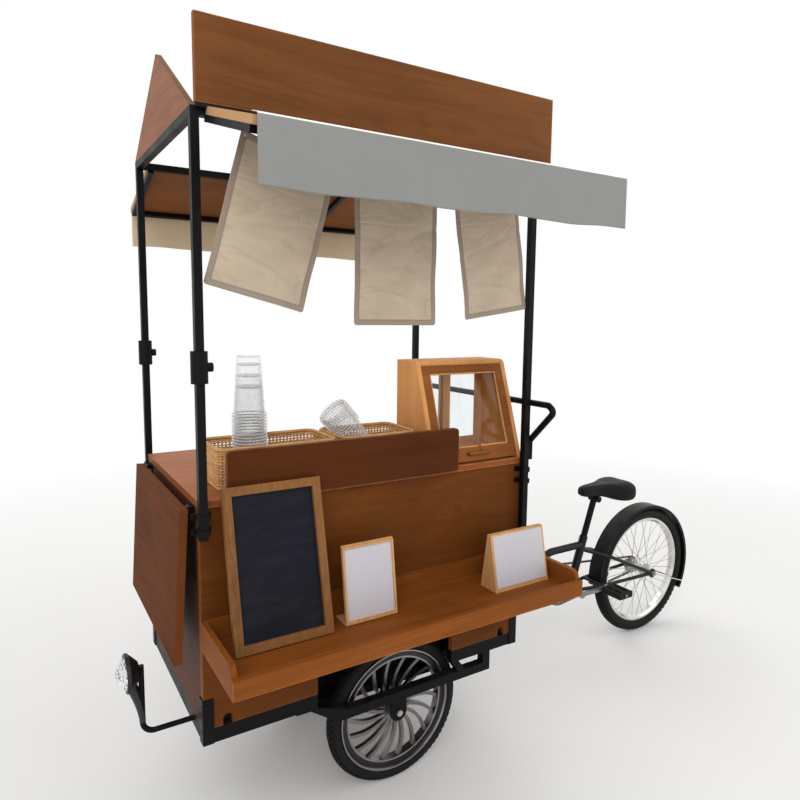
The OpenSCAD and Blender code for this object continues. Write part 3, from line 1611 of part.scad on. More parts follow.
module drive_hub() {
    end = stay_out - dropout_t / 2 - side_gap;
    color([0.7, 0.7, 0.72]) place() on_drive_axle() difference() {
        union() {
            wire_spokes();
            cylinder(h = 2 * flange_out, r = drive_hub_r, center = true);
            for (s = [-1, 1])
                translate([0, 0, s * flange_out - flange_t / 2]) cylinder(h = flange_t, r = flange_r);
            cylinder(h = 2 * end, r = drive_hub_r * 2 / 3, center = true);
            translate([0, 0, -chain_out - tooth_t / 2]) linear_extrude(height = tooth_t)
                toothed(sprocket_r, sprocket_n);
        }
        cylinder(h = 2 * stay_out, r = drive_axle_d / 2 + run_fit, center = true);
    }
}

module drive_axle() {
    nut_at = stay_out + dropout_t / 2 + guard_stay_d;
    color([0.7, 0.7, 0.72]) place() on_drive_axle() {
        cylinder(h = 2 * (nut_at + nut_h + over), r = drive_axle_d / 2, center = true);
        for (z = [nut_at, -nut_at - nut_h])
            translate([0, 0, z]) cylinder(h = nut_h, d = nut_d, $fn = 6);
    }
}

// Cranks and pedals

module crank_arm() {
    hull_r = crank_w / 2;
    cylinder(h = crank_t, r = hull_r * 5 / 4);
    translate([crank_len, 0, 0]) cylinder(h = crank_t, r = hull_r);
    translate([0, -crank_w / 3, 0]) cube([crank_len, crank_w * 2 / 3, crank_t]);
}

module crank_set() {
    color([0.6, 0.6, 0.62]) place() translate(bb) {
        y_rod(0, -crank_y, crank_y, 0, spindle_d / 2);
        translate([0, -crank_out, 0]) rotate([90, 0, 0]) crank_arm();
        translate([0, crank_y, 0]) rotate([90, 0, 0]) mirror([1, 0, 0]) crank_arm();
        y_rod(crank_len, -pedal_y - pedal_w - over, -crank_out, 0, pedal_pin_d / 2);
        y_rod(-crank_len, crank_out, pedal_y + pedal_w + over, 0, pedal_pin_d / 2);
        // chainring with round windows
        xz_plate(chain_out - tooth_t / 2, chain_out + tooth_t / 2) difference() {
            toothed(ring_r, ring_n);
            for (i = [0 : window_n - 1])
                rotate([0, 0, i * 360 / window_n]) translate([ring_r * window_place_share, 0])
                    circle(ring_r * window_size_share);
        }
        y_rod(0, shell_w / 2 + side_gap, crank_out, 0, spindle_d);
    }
}

module pedal() {
    difference() {
        block([-pedal_len / 2, 0, -pedal_h / 2], [pedal_len / 2, pedal_w, pedal_h / 2]);
        y_rod(0, -over, pedal_w + over, 0, pedal_pin_d / 2 + run_fit);
        for (s = [-1, 1])
            block([s * pedal_len / 4 - pedal_h / 4, pedal_h / 2, -pedal_h],
                [s * pedal_len / 4 + pedal_h / 4, pedal_w - pedal_h / 2, pedal_h]);
    }
}

module near_pedal() {
    color([0.07, 0.07, 0.07]) place() translate(bb + [crank_len, -pedal_y, 0]) mirror([0, 1, 0]) pedal();
}

module far_pedal() {
    color([0.07, 0.07, 0.07]) place() translate(bb + [-crank_len, pedal_y, 0]) pedal();
}

base_frame();
cart_pins();
floor_board();
serving_panel();
lamp_end_panel();
bike_end_panel();
vendor_skirt();
inner_shelf();
counter_top();
rail_board();
tray_bottom();
tray_walls();
posts();
steel_fittings();
roof_frame();
eave_boards();
front_sign();
gables();
serving_valance();
vendor_valance();
lamp_end_banner();
middle_banner();
bike_end_banner();
push_handle();
cabinet_case();
cabinet_front();
cabinet_front_glass();
cabinet_pull();
left_door();
left_pane();
right_door();
right_pane();
baskets();
cups();
chalkboard_frame();
chalkboard_panel();
card_holder();
wedge_card_holder();
lamp_arm();
lamp_shell();
lamp_lens();
drop_leaf();
leaf_arms();
serving_wheel();
serving_tyre();
vendor_wheel();
vendor_tyre();
bike_frame();
mudguard();
mudguard_stays();
drive_axle();
chain();
seat_post();
saddle();
drive_tyre();
drive_rim();
drive_hub();
crank_set();
near_pedal();
far_pedal();
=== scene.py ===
import math

import bmesh
import bpy
from bpy.props import FloatProperty, FloatVectorProperty, IntProperty, PointerProperty
from mathutils import Matrix, Vector


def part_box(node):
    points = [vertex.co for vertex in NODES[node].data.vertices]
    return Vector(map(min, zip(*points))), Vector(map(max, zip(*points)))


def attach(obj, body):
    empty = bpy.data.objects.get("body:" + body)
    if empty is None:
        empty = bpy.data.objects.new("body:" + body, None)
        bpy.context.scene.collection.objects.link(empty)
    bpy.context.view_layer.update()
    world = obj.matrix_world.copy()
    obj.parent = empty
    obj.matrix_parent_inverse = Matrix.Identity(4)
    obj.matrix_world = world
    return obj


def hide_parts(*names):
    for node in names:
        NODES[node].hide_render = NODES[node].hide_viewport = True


bl_info = {
    "name": "Bicycle food cart",
    "version": (1, 0, 0),
    "blender": (4, 5, 0),
    "location": "View3D > Sidebar > Food cart",
    "description": "Dresses the food cart: timber, cloth, wicker, cups, tyres, chain and lamp",
    "category": "Object",
}

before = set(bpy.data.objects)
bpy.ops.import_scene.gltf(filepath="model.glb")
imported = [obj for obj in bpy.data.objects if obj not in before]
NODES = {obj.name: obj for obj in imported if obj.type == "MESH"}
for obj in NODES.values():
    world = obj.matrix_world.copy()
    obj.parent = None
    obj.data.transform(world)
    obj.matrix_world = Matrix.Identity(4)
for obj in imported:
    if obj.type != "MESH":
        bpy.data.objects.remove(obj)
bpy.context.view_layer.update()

X, Y, Z = range(3)

# corner of the box at the lamp end, the serving face and the ground
PANEL_FOOT = 0.382
CORNER = Vector(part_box("serving_panel")[0]) - Vector((0, 0, PANEL_FOOT))

# sizes and places that several pieces share, in metres from that corner
BOX_LONG = 1.03
BOX_DEEP = 0.61
COUNTER_Z = 0.975
TRAY_Z = 0.618
BASKET_X = 0.066
BASKET_Y = 0.052
BASKET_DEEP = 0.185
BASKET_TALL = 0.106
FIRST_BASKET = 0.338
SECOND_BASKET = 0.252
BASKET_GAP = 0.013
FRONT_AXLE = (0.591, 0.056, 0.2245)
DRIVE_AXLE = (2.062, 0.305, 0.2855)
BRACKET_X = 1.612
CHAIN_Y = 0.357
CHAIN_STAY = 0.45
CHAIN_PITCH = 0.0127
CHAINRING_TEETH = 44
SPROCKET_TEETH = 18


def at(x, y, z):
    """A point given from the box's corner, in metres."""
    return CORNER + Vector((x, y, z))


def srgb(r, g, b):
    """A colour from its 0 to 255 screen values."""
    shares = (r / 255, g / 255, b / 255)
    return tuple(v / 12.92 if v <= 0.04045 else ((v + 0.055) / 1.055) ** 2.4 for v in shares)


def times(colour, share):
    """A colour made darker or lighter, never past full."""
    return tuple(min(1, v * share) for v in colour)


class Graph:
    """Adds nodes to a tree; a value that is a socket is linked, any other is set."""

    def __init__(self, tree):
        self.tree = tree

    def add(self, kind, values=None, **settings):
        node = self.tree.nodes.new(kind)
        for key, value in settings.items():
            setattr(node, key, value)
        for key, value in (values or {}).items():
            self.put(node.inputs[key], value)
        return node

    def put(self, socket, value):
        if isinstance(value, bpy.types.NodeSocket):
            self.tree.links.new(value, socket)
        else:
            if socket.type == "RGBA" and len(value) == 3:
                value = (*value, 1.0)
            socket.default_value = value

    def math(self, operation, a, b=0.0, c=0.0, clamp=False):
        return self.add(
            "ShaderNodeMath", {0: a, 1: b, 2: c}, operation=operation, use_clamp=clamp
        ).outputs[0]

    def vector(self, operation, a, b=(0, 0, 0)):
        return self.add("ShaderNodeVectorMath", {0: a, 1: b}, operation=operation).outputs[0]

    def mix(self, factor, a, b, blend="MIX"):
        node = self.add("ShaderNodeMix", data_type="RGBA", blend_type=blend)
        self.put(node.inputs[0], factor)
        self.put(node.inputs[6], a)
        self.put(node.inputs[7], b)
        return node.outputs[2]

    def band(self, value, low, high, to_low=0.0, to_high=1.0):
        return self.add(
            "ShaderNodeMapRange",
            {"Value": value, "From Min": low, "From Max": high, "To Min": to_low, "To Max": to_high},
        ).outputs[0]

    def object_place(self):
        return self.add("ShaderNodeTexCoord").outputs["Object"]

    def stretched(self, place, scale):
        return self.add("ShaderNodeMapping", {"Vector": place, "Scale": scale}).outputs[0]

    def noise(self, place, scale, detail=4.0, roughness=0.55, distortion=0.0):
        return self.add(
            "ShaderNodeTexNoise",
            {
                "Vector": place,
                "Scale": scale,
                "Detail": detail,
                "Roughness": roughness,
                "Distortion": distortion,
            },
        ).outputs[0]

    def bump(self, height, strength, distance=0.001):
        return self.add(
            "ShaderNodeBump", {"Height": height, "Strength": strength, "Distance": distance}
        ).outputs[0]


def finish_material(name, build, **sockets):
    """A material whose shader sockets are set directly and whose nodes come from build."""
    mat = bpy.data.materials.new(name)
    mat.use_nodes = True
    mat.node_tree.nodes.clear()
    g = Graph(mat.node_tree)
    shader = g.add("ShaderNodeBsdfPrincipled")
    g.add("ShaderNodeOutputMaterial", {"Surface": shader.outputs[0]})
    for key, value in sockets.items():
        g.put(shader.inputs[key.replace("_", " ")], value)
    build(g, shader)
    return mat


def timber(name, light, dark, grain, thin, box=None, edge=None, figure=1.0, gloss=0.46, marks=0.0):
    """Stained ply with grain along one axis, layered edges across its thin axis and a lighter band along its
    arrises.
    """

    def build(g, shader):
        coord = g.add("ShaderNodeTexCoord")
        place = coord.outputs["Object"]

        def along(cross, length):
            scale = [cross] * 3
            scale[grain] = length
            return g.stretched(place, scale)

        swirl = g.noise(along(16.0, 1.1), figure, 7.0, 0.6, 1.4)
        fibre = g.noise(along(420.0, 9.0), 1.0, 3.0, 0.65)
        broad = g.noise(place, 2.3, 3.0, 0.5)
        growth = g.noise(along(5.5, 0.7), figure, 2.0, 0.45, 0.6)
        rings = g.band(g.math("SINE", g.math("MULTIPLY", growth, 95.0)), 0.1, 1.0, 0.0, 0.24)
        tone = g.mix(g.band(swirl, 0.3, 0.7), dark, light)
        tone = g.mix(rings, tone, times(dark, 0.6))
        tone = g.mix(g.band(fibre, 0.3, 0.75, 0.0, 0.45), tone, times(dark, 0.55))
        tone = g.mix(g.band(broad, 0.35, 0.7, 0.0, 0.35), tone, times(light, 1.3))
        if marks:
            flame = g.noise(along(21.0, 4.5), 1.0, 5.0, 0.6, 2.2)
            knot = g.math("MULTIPLY", flame, g.band(broad, 0.46, 0.66))
            tone = g.mix(g.band(knot, 0.5, 0.62, 0.0, marks), tone, times(dark, 0.5))
        if edge:
            axes = g.add("ShaderNodeSeparateXYZ", {0: coord.outputs["Normal"]})
            side = g.band(g.math("ABSOLUTE", axes.outputs[thin]), 0.45, 0.55, 1.0, 0.0)
            spot = g.add("ShaderNodeSeparateXYZ", {0: place}).outputs[thin]
            ply = g.band(g.math("SINE", g.math("MULTIPLY", spot, 2100.0)), -0.6, 0.6)
            lined = g.mix(ply, times(edge, 0.78), edge)
            tone = g.mix(g.math("MULTIPLY", side, 0.85), tone, lined)
        # lighter towards the arrises of the board's box
        if box:
            low = g.vector("SUBTRACT", place, tuple(box[0]))
            high = g.vector("SUBTRACT", tuple(box[1]), place)
            near = g.add("ShaderNodeSeparateXYZ", {0: g.vector("MINIMUM", low, high)}).outputs
            small = g.math("MINIMUM", near[0], near[1])
            large = g.math("MAXIMUM", near[0], near[1])
            second = g.math("MAXIMUM", small, g.math("MINIMUM", large, near[2]))
            ragged = g.band(g.noise(place, 60.0, 3.0), 0.35, 0.7, 0.001, 0.0045)
            edge_lighter = g.band(g.math("DIVIDE", second, ragged), 0.4, 1.0, 0.4, 0.0)
            tone = g.mix(edge_lighter, tone, tuple(min(1, c * 1.6 + 0.02) for c in light))
        g.put(shader.inputs["Base Color"], tone)
        g.put(shader.inputs["Roughness"], g.band(fibre, 0.2, 0.8, gloss - 0.06, gloss + 0.16))
        g.put(shader.inputs["Normal"], g.bump(fibre, 0.12, 0.0006))

    return finish_material(name, build, Specular_IOR_Level=0.07)


def metal(
    name, colour, rough, metallic=1.0, grain=300.0, spread=0.1, bump=0.03, dust=None, coat=0.0, shine=0.5
):
    """Metal or paint with fine grain, cloudy gloss and dust lying on faces that look up."""

    def build(g, shader):
        coord = g.add("ShaderNodeTexCoord")
        cloud = g.noise(coord.outputs["Object"], 9.0, 5.0, 0.6)
        speck = g.noise(coord.outputs["Object"], grain * 6, 2.0)
        tone = g.mix(g.band(cloud, 0.3, 0.7), times(colour, 0.8), times(colour, 1.18))
        if dust:
            up = g.add("ShaderNodeSeparateXYZ", {0: coord.outputs["Normal"]}).outputs[2]
            lying = g.math("MULTIPLY", g.band(up, 0.5, 1.0, 0.0, 0.14), g.band(cloud, 0.4, 0.65))
            tone = g.mix(lying, tone, dust)
        g.put(shader.inputs["Base Color"], tone)
        g.put(
            shader.inputs["Roughness"], g.band(cloud, 0.25, 0.75, max(0.03, rough - spread), rough + spread)
        )
        g.put(shader.inputs["Normal"], g.bump(speck, bump, 0.0004))

    return finish_material(
        name, build, Metallic=metallic, Specular_IOR_Level=shine, Coat_Weight=coat, Coat_Roughness=0.2
    )


def clear(name, tint, rough, ior, streak):
    """Clear glass or plastic with faint smears."""

    def build(g, shader):
        smear = g.noise(g.stretched(g.object_place(), (1.0, 1.0, 0.25)), 30.0, 5.0, 0.6)
        g.put(shader.inputs["Base Color"], g.mix(g.band(smear, 0.35, 0.75), tint, times(tint, 0.93)))
        g.put(shader.inputs["Roughness"], g.band(smear, 0.4, 0.8, rough, rough + streak))
        g.put(shader.inputs["Normal"], g.bump(smear, 0.08, 0.0005))

    return finish_material(name, build, Transmission_Weight=1.0, IOR=ior)


def thin_plastic(name, tint, low, high):
    """Thin clear plastic: nearly unseen face on, denser where the wall turns away."""

    def build(g, shader):
        place = g.object_place()
        cloud = g.noise(g.stretched(place, (1.0, 1.0, 0.3)), 34.0, 4.0, 0.6)
        g.put(shader.inputs["Base Color"], g.mix(cloud, tint, times(tint, 0.92)))
        turned = g.add("ShaderNodeLayerWeight", {"Blend": 0.5}).outputs["Facing"]
        veil = g.math("ADD", g.math("POWER", turned, 2.2), g.math("MULTIPLY", cloud, 0.25))
        g.put(shader.inputs["Alpha"], g.band(veil, 0.1, 1.1, low, high))
        g.put(shader.inputs["Roughness"], g.band(cloud, 0.3, 0.8, 0.06, 0.2))
        g.put(shader.inputs["Normal"], g.bump(cloud, 0.1, 0.0006))

    return finish_material(name, build, IOR=1.5, Coat_Weight=0.4, Coat_Roughness=0.05)


def woven(
    name, light, dark, thread, border=None, border_width=0.0,
    crease=0.3, rough=0.85, sheen=0.25, fold_line=0.0,
):
    """Cloth woven along its own UV map, in metres, with creases and a sewn border or a white line along one
    fold; painted shade and light follow the folds and painted dark lines the creases.
    """

    def build(g, shader):
        uv = g.add("ShaderNodeUVMap", uv_map="UVMap").outputs[0]
        axes = g.add("ShaderNodeSeparateXYZ", {0: uv})
        turns = 2 * math.pi / thread
        warp = g.math("SINE", g.math("MULTIPLY", axes.outputs[0], turns))
        weft = g.math("SINE", g.math("MULTIPLY", axes.outputs[1], turns))
        weave = g.band(g.math("MULTIPLY", warp, weft), -1.0, 1.0)
        slub = g.noise(g.stretched(uv, (30.0, 600.0, 1.0)), 1.0, 3.0)
        fold = g.noise(g.stretched(uv, (4.0, 7.0, 1.0)), 1.0, 4.0, 0.55, 0.5)
        # painted shade and painted light: the fold noise darkens and lightens the cloth as light would fall
        # on its folds
        tone = g.mix(g.band(fold, 0.3, 0.7), dark, light)
        tone = g.mix(g.band(slub, 0.35, 0.8, 0.0, 0.22), tone, times(dark, 0.7))
        tone = g.mix(g.math("MULTIPLY", weave, 0.1), tone, times(dark, 0.6))
        # with fold_line set, a thin white line runs across the cloth there instead of a border
        if fold_line:
            turned = g.band(axes.outputs[1], fold_line - 0.0006, fold_line + 0.0006)
            tone = g.mix(turned, tone, border)
        elif border:
            rim = g.add("ShaderNodeAttribute", attribute_name="rim").outputs["Fac"]
            edge = g.band(rim, border_width - 0.0008, border_width + 0.0008, 1.0, 0.0)
            tone = g.mix(edge, tone, g.mix(g.band(slub, 0.3, 0.7), times(border, 0.85), border))
            stitch = g.math("ABSOLUTE", g.math("SUBTRACT", rim, border_width - 0.003))
            seam = g.band(stitch, 0.0004, 0.0012, 1.0, 0.0)
            tone = g.mix(g.math("MULTIPLY", seam, 0.5), tone, times(border, 0.5))
        pressed = g.noise(g.stretched(uv, (5.0, 9.0, 1.0)), 1.0, 2.0, 0.5, 1.2)
        sharp = g.math("ABSOLUTE", g.math("SUBTRACT", pressed, 0.5))
        # painted shade: a dark line along each crease
        tone = g.mix(g.band(sharp, 0.0, 0.03, crease * 0.35, 0.0), tone, times(dark, 0.62))
        height = g.math("ADD", g.math("MULTIPLY", weave, 0.25), g.math("MULTIPLY", fold, crease * 8))
        height = g.math("ADD", height, g.math("MULTIPLY", g.band(sharp, 0.0, 0.12), crease * 6))
        g.put(shader.inputs["Base Color"], tone)
        g.put(shader.inputs["Roughness"], g.band(slub, 0.2, 0.8, rough - 0.08, rough + 0.08))
        g.put(shader.inputs["Normal"], g.bump(height, 0.3, 0.001))

    return finish_material(name, build, Sheen_Weight=sheen, Sheen_Roughness=0.5)


def cast_wheel(name, colour, box):
    """Grey cast alloy, dark between the two bright lips of the rim."""
    middle = [(low + high) / 2 for low, high in zip(*box)]
    outer = (box[1][Z] - box[0][Z]) / 2
    lip_inset, bead_inset, bead_end = 0.0062, 0.0275, 0.0225

    def build(g, shader):
        place = g.object_place()
        axes = g.add("ShaderNodeSeparateXYZ", {0: g.vector("SUBTRACT", place, tuple(middle))}).outputs
        across, up = g.math("MULTIPLY", axes[X], axes[X]), g.math("MULTIPLY", axes[Z], axes[Z])
        far = g.math("SQRT", g.math("ADD", across, up))

        def past(inset, blur):
            return g.band(far, outer - inset, outer - inset + blur)

        def without(a, b):
            return g.math("MULTIPLY", a, g.math("SUBTRACT", 1.0, b))

        cloud = g.noise(place, 14.0, 5.0, 0.6)
        speck = g.noise(place, 1300.0, 2.0)
        lip, past_bead = past(lip_inset, 0.0012), past(bead_end, 0.001)
        bright = g.math("MAXIMUM", lip, without(past(bead_inset, 0.001), past_bead))
        tone = g.mix(g.band(cloud, 0.3, 0.7), times(colour, 0.78), times(colour, 1.2))
        tone = g.mix(without(past_bead, lip), tone, times(colour, 0.22))
        tone = g.mix(bright, tone, times(colour, 1.7))
        rough = g.math("SUBTRACT", g.band(cloud, 0.25, 0.75, 0.3, 0.48), g.math("MULTIPLY", bright, 0.16))
        g.put(shader.inputs["Base Color"], tone)
        g.put(shader.inputs["Roughness"], rough)
        g.put(shader.inputs["Normal"], g.bump(speck, 0.08, 0.0004))

    return finish_material(name, build, Metallic=1.0)


def rubber(name, colour, rough=0.66, grain=900.0, bump=0.12, dust=srgb(70, 66, 62)):
    """Moulded rubber or hide with a fine grain and a grey bloom."""

    def build(g, shader):
        place = g.object_place()
        bloom = g.noise(place, 14.0, 5.0, 0.6)
        cell = g.add("ShaderNodeTexVoronoi", {"Vector": place, "Scale": grain}).outputs["Distance"]
        g.put(shader.inputs["Base Color"], g.mix(g.band(bloom, 0.45, 0.8, 0.0, 0.1), colour, dust))
        g.put(shader.inputs["Roughness"], g.band(bloom, 0.3, 0.8, rough - 0.08, rough + 0.12))
        g.put(shader.inputs["Normal"], g.bump(cell, bump, 0.0004))

    return finish_material(name, build, Specular_IOR_Level=0.18)


def cane(name, light, dark):
    """Split cane: each strand a slightly different tan."""

    def build(g, shader):
        place = g.object_place()
        strand = g.noise(g.stretched(place, (14.0, 14.0, 130.0)), 1.0, 2.0)
        fibre = g.noise(place, 700.0, 2.0)
        tone = g.mix(g.band(strand, 0.3, 0.7), dark, light)
        tone = g.mix(g.band(fibre, 0.35, 0.75, 0.0, 0.3), tone, times(dark, 0.55))
        g.put(shader.inputs["Base Color"], tone)
        g.put(shader.inputs["Roughness"], g.band(fibre, 0.2, 0.8, 0.42, 0.68))
        g.put(shader.inputs["Normal"], g.bump(fibre, 0.18, 0.0005))

    return finish_material(name, build)


def slate(name, colour, chalk):
    """Matt blackboard with wiped chalk haze."""

    def build(g, shader):
        place = g.object_place()
        wipe = g.noise(g.stretched(place, (2.0, 2.0, 9.0)), 2.2, 6.0, 0.65, 1.0)
        grit = g.noise(place, 1500.0, 2.0)
        haze = g.math("MULTIPLY", g.band(wipe, 0.45, 0.8, 0.0, 0.03), g.band(grit, 0.3, 0.6))
        g.put(shader.inputs["Base Color"], g.mix(haze, colour, chalk))
        g.put(shader.inputs["Roughness"], g.band(wipe, 0.3, 0.8, 0.5, 0.72))
        g.put(shader.inputs["Normal"], g.bump(grit, 0.08, 0.0003))

    return finish_material(name, build, Specular_IOR_Level=0.1)


def card(name, light, dark):
    """Plain card with a faint pulp."""

    def build(g, shader):
        place = g.object_place()
        pulp = g.noise(place, 260.0, 4.0, 0.6)
        g.put(shader.inputs["Base Color"], g.mix(g.band(pulp, 0.3, 0.7), dark, light))
        g.put(shader.inputs["Roughness"], g.band(pulp, 0.2, 0.8, 0.5, 0.62))
        g.put(shader.inputs["Normal"], g.bump(pulp, 0.05, 0.0003))

    return finish_material(name, build)


def tree(name, inputs):
    """A geometry tree with named inputs; returns the tree, its graph and its input node."""
    group = bpy.data.node_groups.new(name, "GeometryNodeTree")
    group.interface.new_socket("Geometry", in_out="INPUT", socket_type="NodeSocketGeometry")
    group.interface.new_socket("Geometry", in_out="OUTPUT", socket_type="NodeSocketGeometry")
    for label, kind in inputs:
        group.interface.new_socket(label, in_out="INPUT", socket_type="NodeSocket" + kind)
    g = Graph(group)
    return group, g, g.add("NodeGroupInput").outputs


def close_tree(g, source, geometry):
    """Ends a tree in realised, painted geometry."""
    real = g.add("GeometryNodeRealizeInstances", {0: geometry}).outputs[0]
    paint = g.add("GeometryNodeSetMaterial", {"Geometry": real, "Material": source["Material"]}).outputs[0]
    g.add("NodeGroupOutput", {0: paint})


def evaluated_mesh(obj):
    """A plain mesh of an object as its modifiers or bevel leave it."""
    view = bpy.context.evaluated_depsgraph_get()
    view.update()
    return bpy.data.meshes.new_from_object(obj.evaluated_get(view), depsgraph=view)


def grown(name, start, group, values):
    """Runs a tree on a starting object and keeps the result as one plain mesh."""
    holder = link(name + "_start", start)
    modifier = holder.modifiers.new("Grow", "NODES")
    modifier.node_group = group
    for item in group.interface.items_tree:
        if item.in_out == "INPUT" and item.name in values:
            modifier[item.identifier] = values[item.name]
    mesh = evaluated_mesh(holder)
    holder.modifiers.remove(modifier)
    bpy.data.objects.remove(holder)
    mesh.name = name
    return link(name, mesh)


def link(name, data):
    """A new object in the scene, at the origin."""
    obj = bpy.data.objects.new(name, data)
    bpy.context.scene.collection.objects.link(obj)
    return obj


def settled(bm, name):
    """Mesh data from a working mesh, which is freed."""
    mesh = bpy.data.meshes.new(name)
    bm.to_mesh(mesh)
    bm.free()
    return mesh


def poly_curve(name, points, closed=True):
    """A curve of straight runs through points."""
    curve = bpy.data.curves.new(name, "CURVE")
    curve.dimensions = "3D"
    spline = curve.splines.new("POLY")
    spline.points.add(len(points) - 1)
    for p, co in zip(spline.points, points):
        p.co = (*co, 1.0)
    spline.use_cyclic_u = closed
    return curve


def ring_tree():
    """Repeats a slice round an axis through a centre."""
    inputs = [("Count", "Int"), ("Axis", "Vector"), ("Centre", "Vector"), ("Material", "Material")]
    group, g, source = tree("Ring of slices", inputs)
    points = g.add("GeometryNodeMeshLine", {"Count": source["Count"], "Offset": (0, 0, 0)}).outputs[0]
    index = g.add("GeometryNodeInputIndex").outputs[0]
    step = g.math("DIVIDE", 2 * math.pi, source["Count"])
    angle = g.math("MULTIPLY", index, step)
    turn = g.add("FunctionNodeAxisAngleToRotation", {"Axis": source["Axis"], "Angle": angle}).outputs[0]
    values = {"Points": points, "Instance": source["Geometry"], "Rotation": turn}
    copies = g.add("GeometryNodeInstanceOnPoints", values).outputs[0]
    moved = g.add("GeometryNodeTransform", {"Geometry": copies, "Translation": source["Centre"]}).outputs[0]
    close_tree(g, source, moved)
    return group


def fastener_tree():
    """Sets a domed head with a raised cross and a washer on each point, turned to its facing attribute."""
    group, g, source = tree(
        "Screw heads", [("Radius", "Float"), ("Height", "Float"), ("Material", "Material")]
    )
    dome = g.add("GeometryNodeMeshUVSphere", {"Segments": 16, "Rings": 8, "Radius": 1.0}).outputs["Mesh"]
    dome = g.add("GeometryNodeTransform", {"Geometry": dome, "Scale": (1.0, 1.0, 0.6)}).outputs[0]
    washer = g.add(
        "GeometryNodeMeshCylinder", {"Vertices": 20, "Radius": 1.35, "Depth": 0.3}
    ).outputs["Mesh"]
    slots = []
    for size in ((1.1, 0.2, 0.16), (0.2, 1.1, 0.16)):
        bar = g.add("GeometryNodeMeshCube", {"Size": size}).outputs["Mesh"]
        slots.append(
            g.add("GeometryNodeTransform", {"Geometry": bar, "Translation": (0, 0, 0.55)}).outputs[0]
        )
    join = g.add("GeometryNodeJoinGeometry")
    for part in (dome, washer, *slots):
        g.tree.links.new(part, join.inputs[0])
    facing = g.add(
        "GeometryNodeInputNamedAttribute", {"Name": "facing"}, data_type="FLOAT_VECTOR"
    ).outputs[0]
    turn = g.add("FunctionNodeAlignRotationToVector", {"Vector": facing}, axis="Z").outputs[0]
    size = g.add(
        "ShaderNodeCombineXYZ", {0: source["Radius"], 1: source["Radius"], 2: source["Height"]}
    ).outputs[0]
    copies = g.add(
        "GeometryNodeInstanceOnPoints",
        {"Points": source["Geometry"], "Instance": join.outputs[0], "Rotation": turn, "Scale": size},
    ).outputs[0]
    close_tree(g, source, copies)
    return group


def wicker_tree():
    """Weaves strands in and out of stakes round a closed curve."""
    inputs = [("Stakes", "Int"), ("Rows", "Int"), ("Pitch", "Float"), ("Depth", "Float")]
    inputs += [("Strand", "Float"), ("Material", "Material")]
    group, g, source = tree("Woven wall", inputs)
    loop = g.add(
        "GeometryNodeResampleCurve", {"Curve": source["Geometry"], "Count": source["Stakes"]}
    ).outputs[0]
    many = g.add(
        "GeometryNodeDuplicateElements", {"Geometry": loop, "Amount": source["Rows"]}, domain="SPLINE"
    )
    row = many.outputs["Duplicate Index"]
    index = g.add("GeometryNodeSplineParameter").outputs["Index"]
    swing = g.math("COSINE", g.math("MULTIPLY", g.math("ADD", index, row), math.pi))
    tangent = g.add("GeometryNodeInputTangent").outputs[0]
    outward = g.vector("CROSS_PRODUCT", tangent, (0, 0, 1))
    reach = g.math("MULTIPLY", swing, source["Depth"])
    push = g.add("ShaderNodeVectorMath", {0: outward, 3: reach}, operation="SCALE").outputs[0]
    lift = g.add("ShaderNodeCombineXYZ", {2: g.math("MULTIPLY", row, source["Pitch"])}).outputs[0]
    shift = g.vector("ADD", push, lift)
    woven_rows = g.add("GeometryNodeSetPosition", {"Geometry": many.outputs[0], "Offset": shift}).outputs[0]
    smooth = g.add(
        "GeometryNodeCurveSplineType", {"Curve": woven_rows}, spline_type="CATMULL_ROM"
    ).outputs[0]
    smooth = g.add("GeometryNodeSetSplineResolution", {"Geometry": smooth, "Resolution": 4}).outputs[0]
    ring = g.add(
        "GeometryNodeCurvePrimitiveCircle", {"Resolution": 6, "Radius": source["Strand"]}
    ).outputs[0]
    strands = g.add("GeometryNodeCurveToMesh", {"Curve": smooth, "Profile Curve": ring}).outputs[0]
    tall = g.math("MULTIPLY", source["Rows"], source["Pitch"])
    stout = g.math("MULTIPLY", source["Strand"], 1.25)
    half_up = g.add("ShaderNodeCombineXYZ", {Z: g.math("MULTIPLY", tall, 0.5)}).outputs[0]
    stake = g.add(
        "GeometryNodeMeshCylinder", {"Vertices": 7, "Radius": stout, "Depth": tall}
    ).outputs["Mesh"]
    stake = g.add("GeometryNodeTransform", {"Geometry": stake, "Translation": half_up}).outputs[0]
    points = g.add("GeometryNodeCurveToPoints", {"Curve": loop}, mode="EVALUATED").outputs[0]
    stakes = g.add("GeometryNodeInstanceOnPoints", {"Points": points, "Instance": stake}).outputs[0]
    join = g.add("GeometryNodeJoinGeometry")
    for part in (strands, stakes):
        g.tree.links.new(part, join.inputs[0])
    close_tree(g, source, join.outputs[0])
    return group


def link_tree():
    """Lays plates along a closed curve in the X-Z plane, alternate ones set wider."""
    inputs = [("Links", "Int"), ("Spread", "Float"), ("Material", "Material"), ("Path", "Object")]
    group, g, source = tree("Chain links", inputs)
    loop = g.add(
        "GeometryNodeObjectInfo", {0: source["Path"]}, transform_space="ORIGINAL"
    ).outputs["Geometry"]
    points = g.add("GeometryNodeCurveToPoints", {"Curve": loop, "Count": source["Links"]}, mode="COUNT")
    index = g.add("GeometryNodeInputIndex").outputs[0]
    odd = g.math("MODULO", index, 2.0)
    along = {"Vector": points.outputs["Tangent"]}
    turn = g.add("FunctionNodeAlignRotationToVector", along, axis="X", pivot_axis="Y").outputs[0]
    width = g.math("ADD", 1.0, g.math("MULTIPLY", odd, source["Spread"]))
    size = g.add("ShaderNodeCombineXYZ", {0: 1.0, 1: width, 2: 1.0}).outputs[0]
    copies = g.add(
        "GeometryNodeInstanceOnPoints",
        {"Points": points.outputs[0], "Instance": source["Geometry"], "Rotation": turn, "Scale": size},
    ).outputs[0]
    close_tree(g, source, copies)
    return group


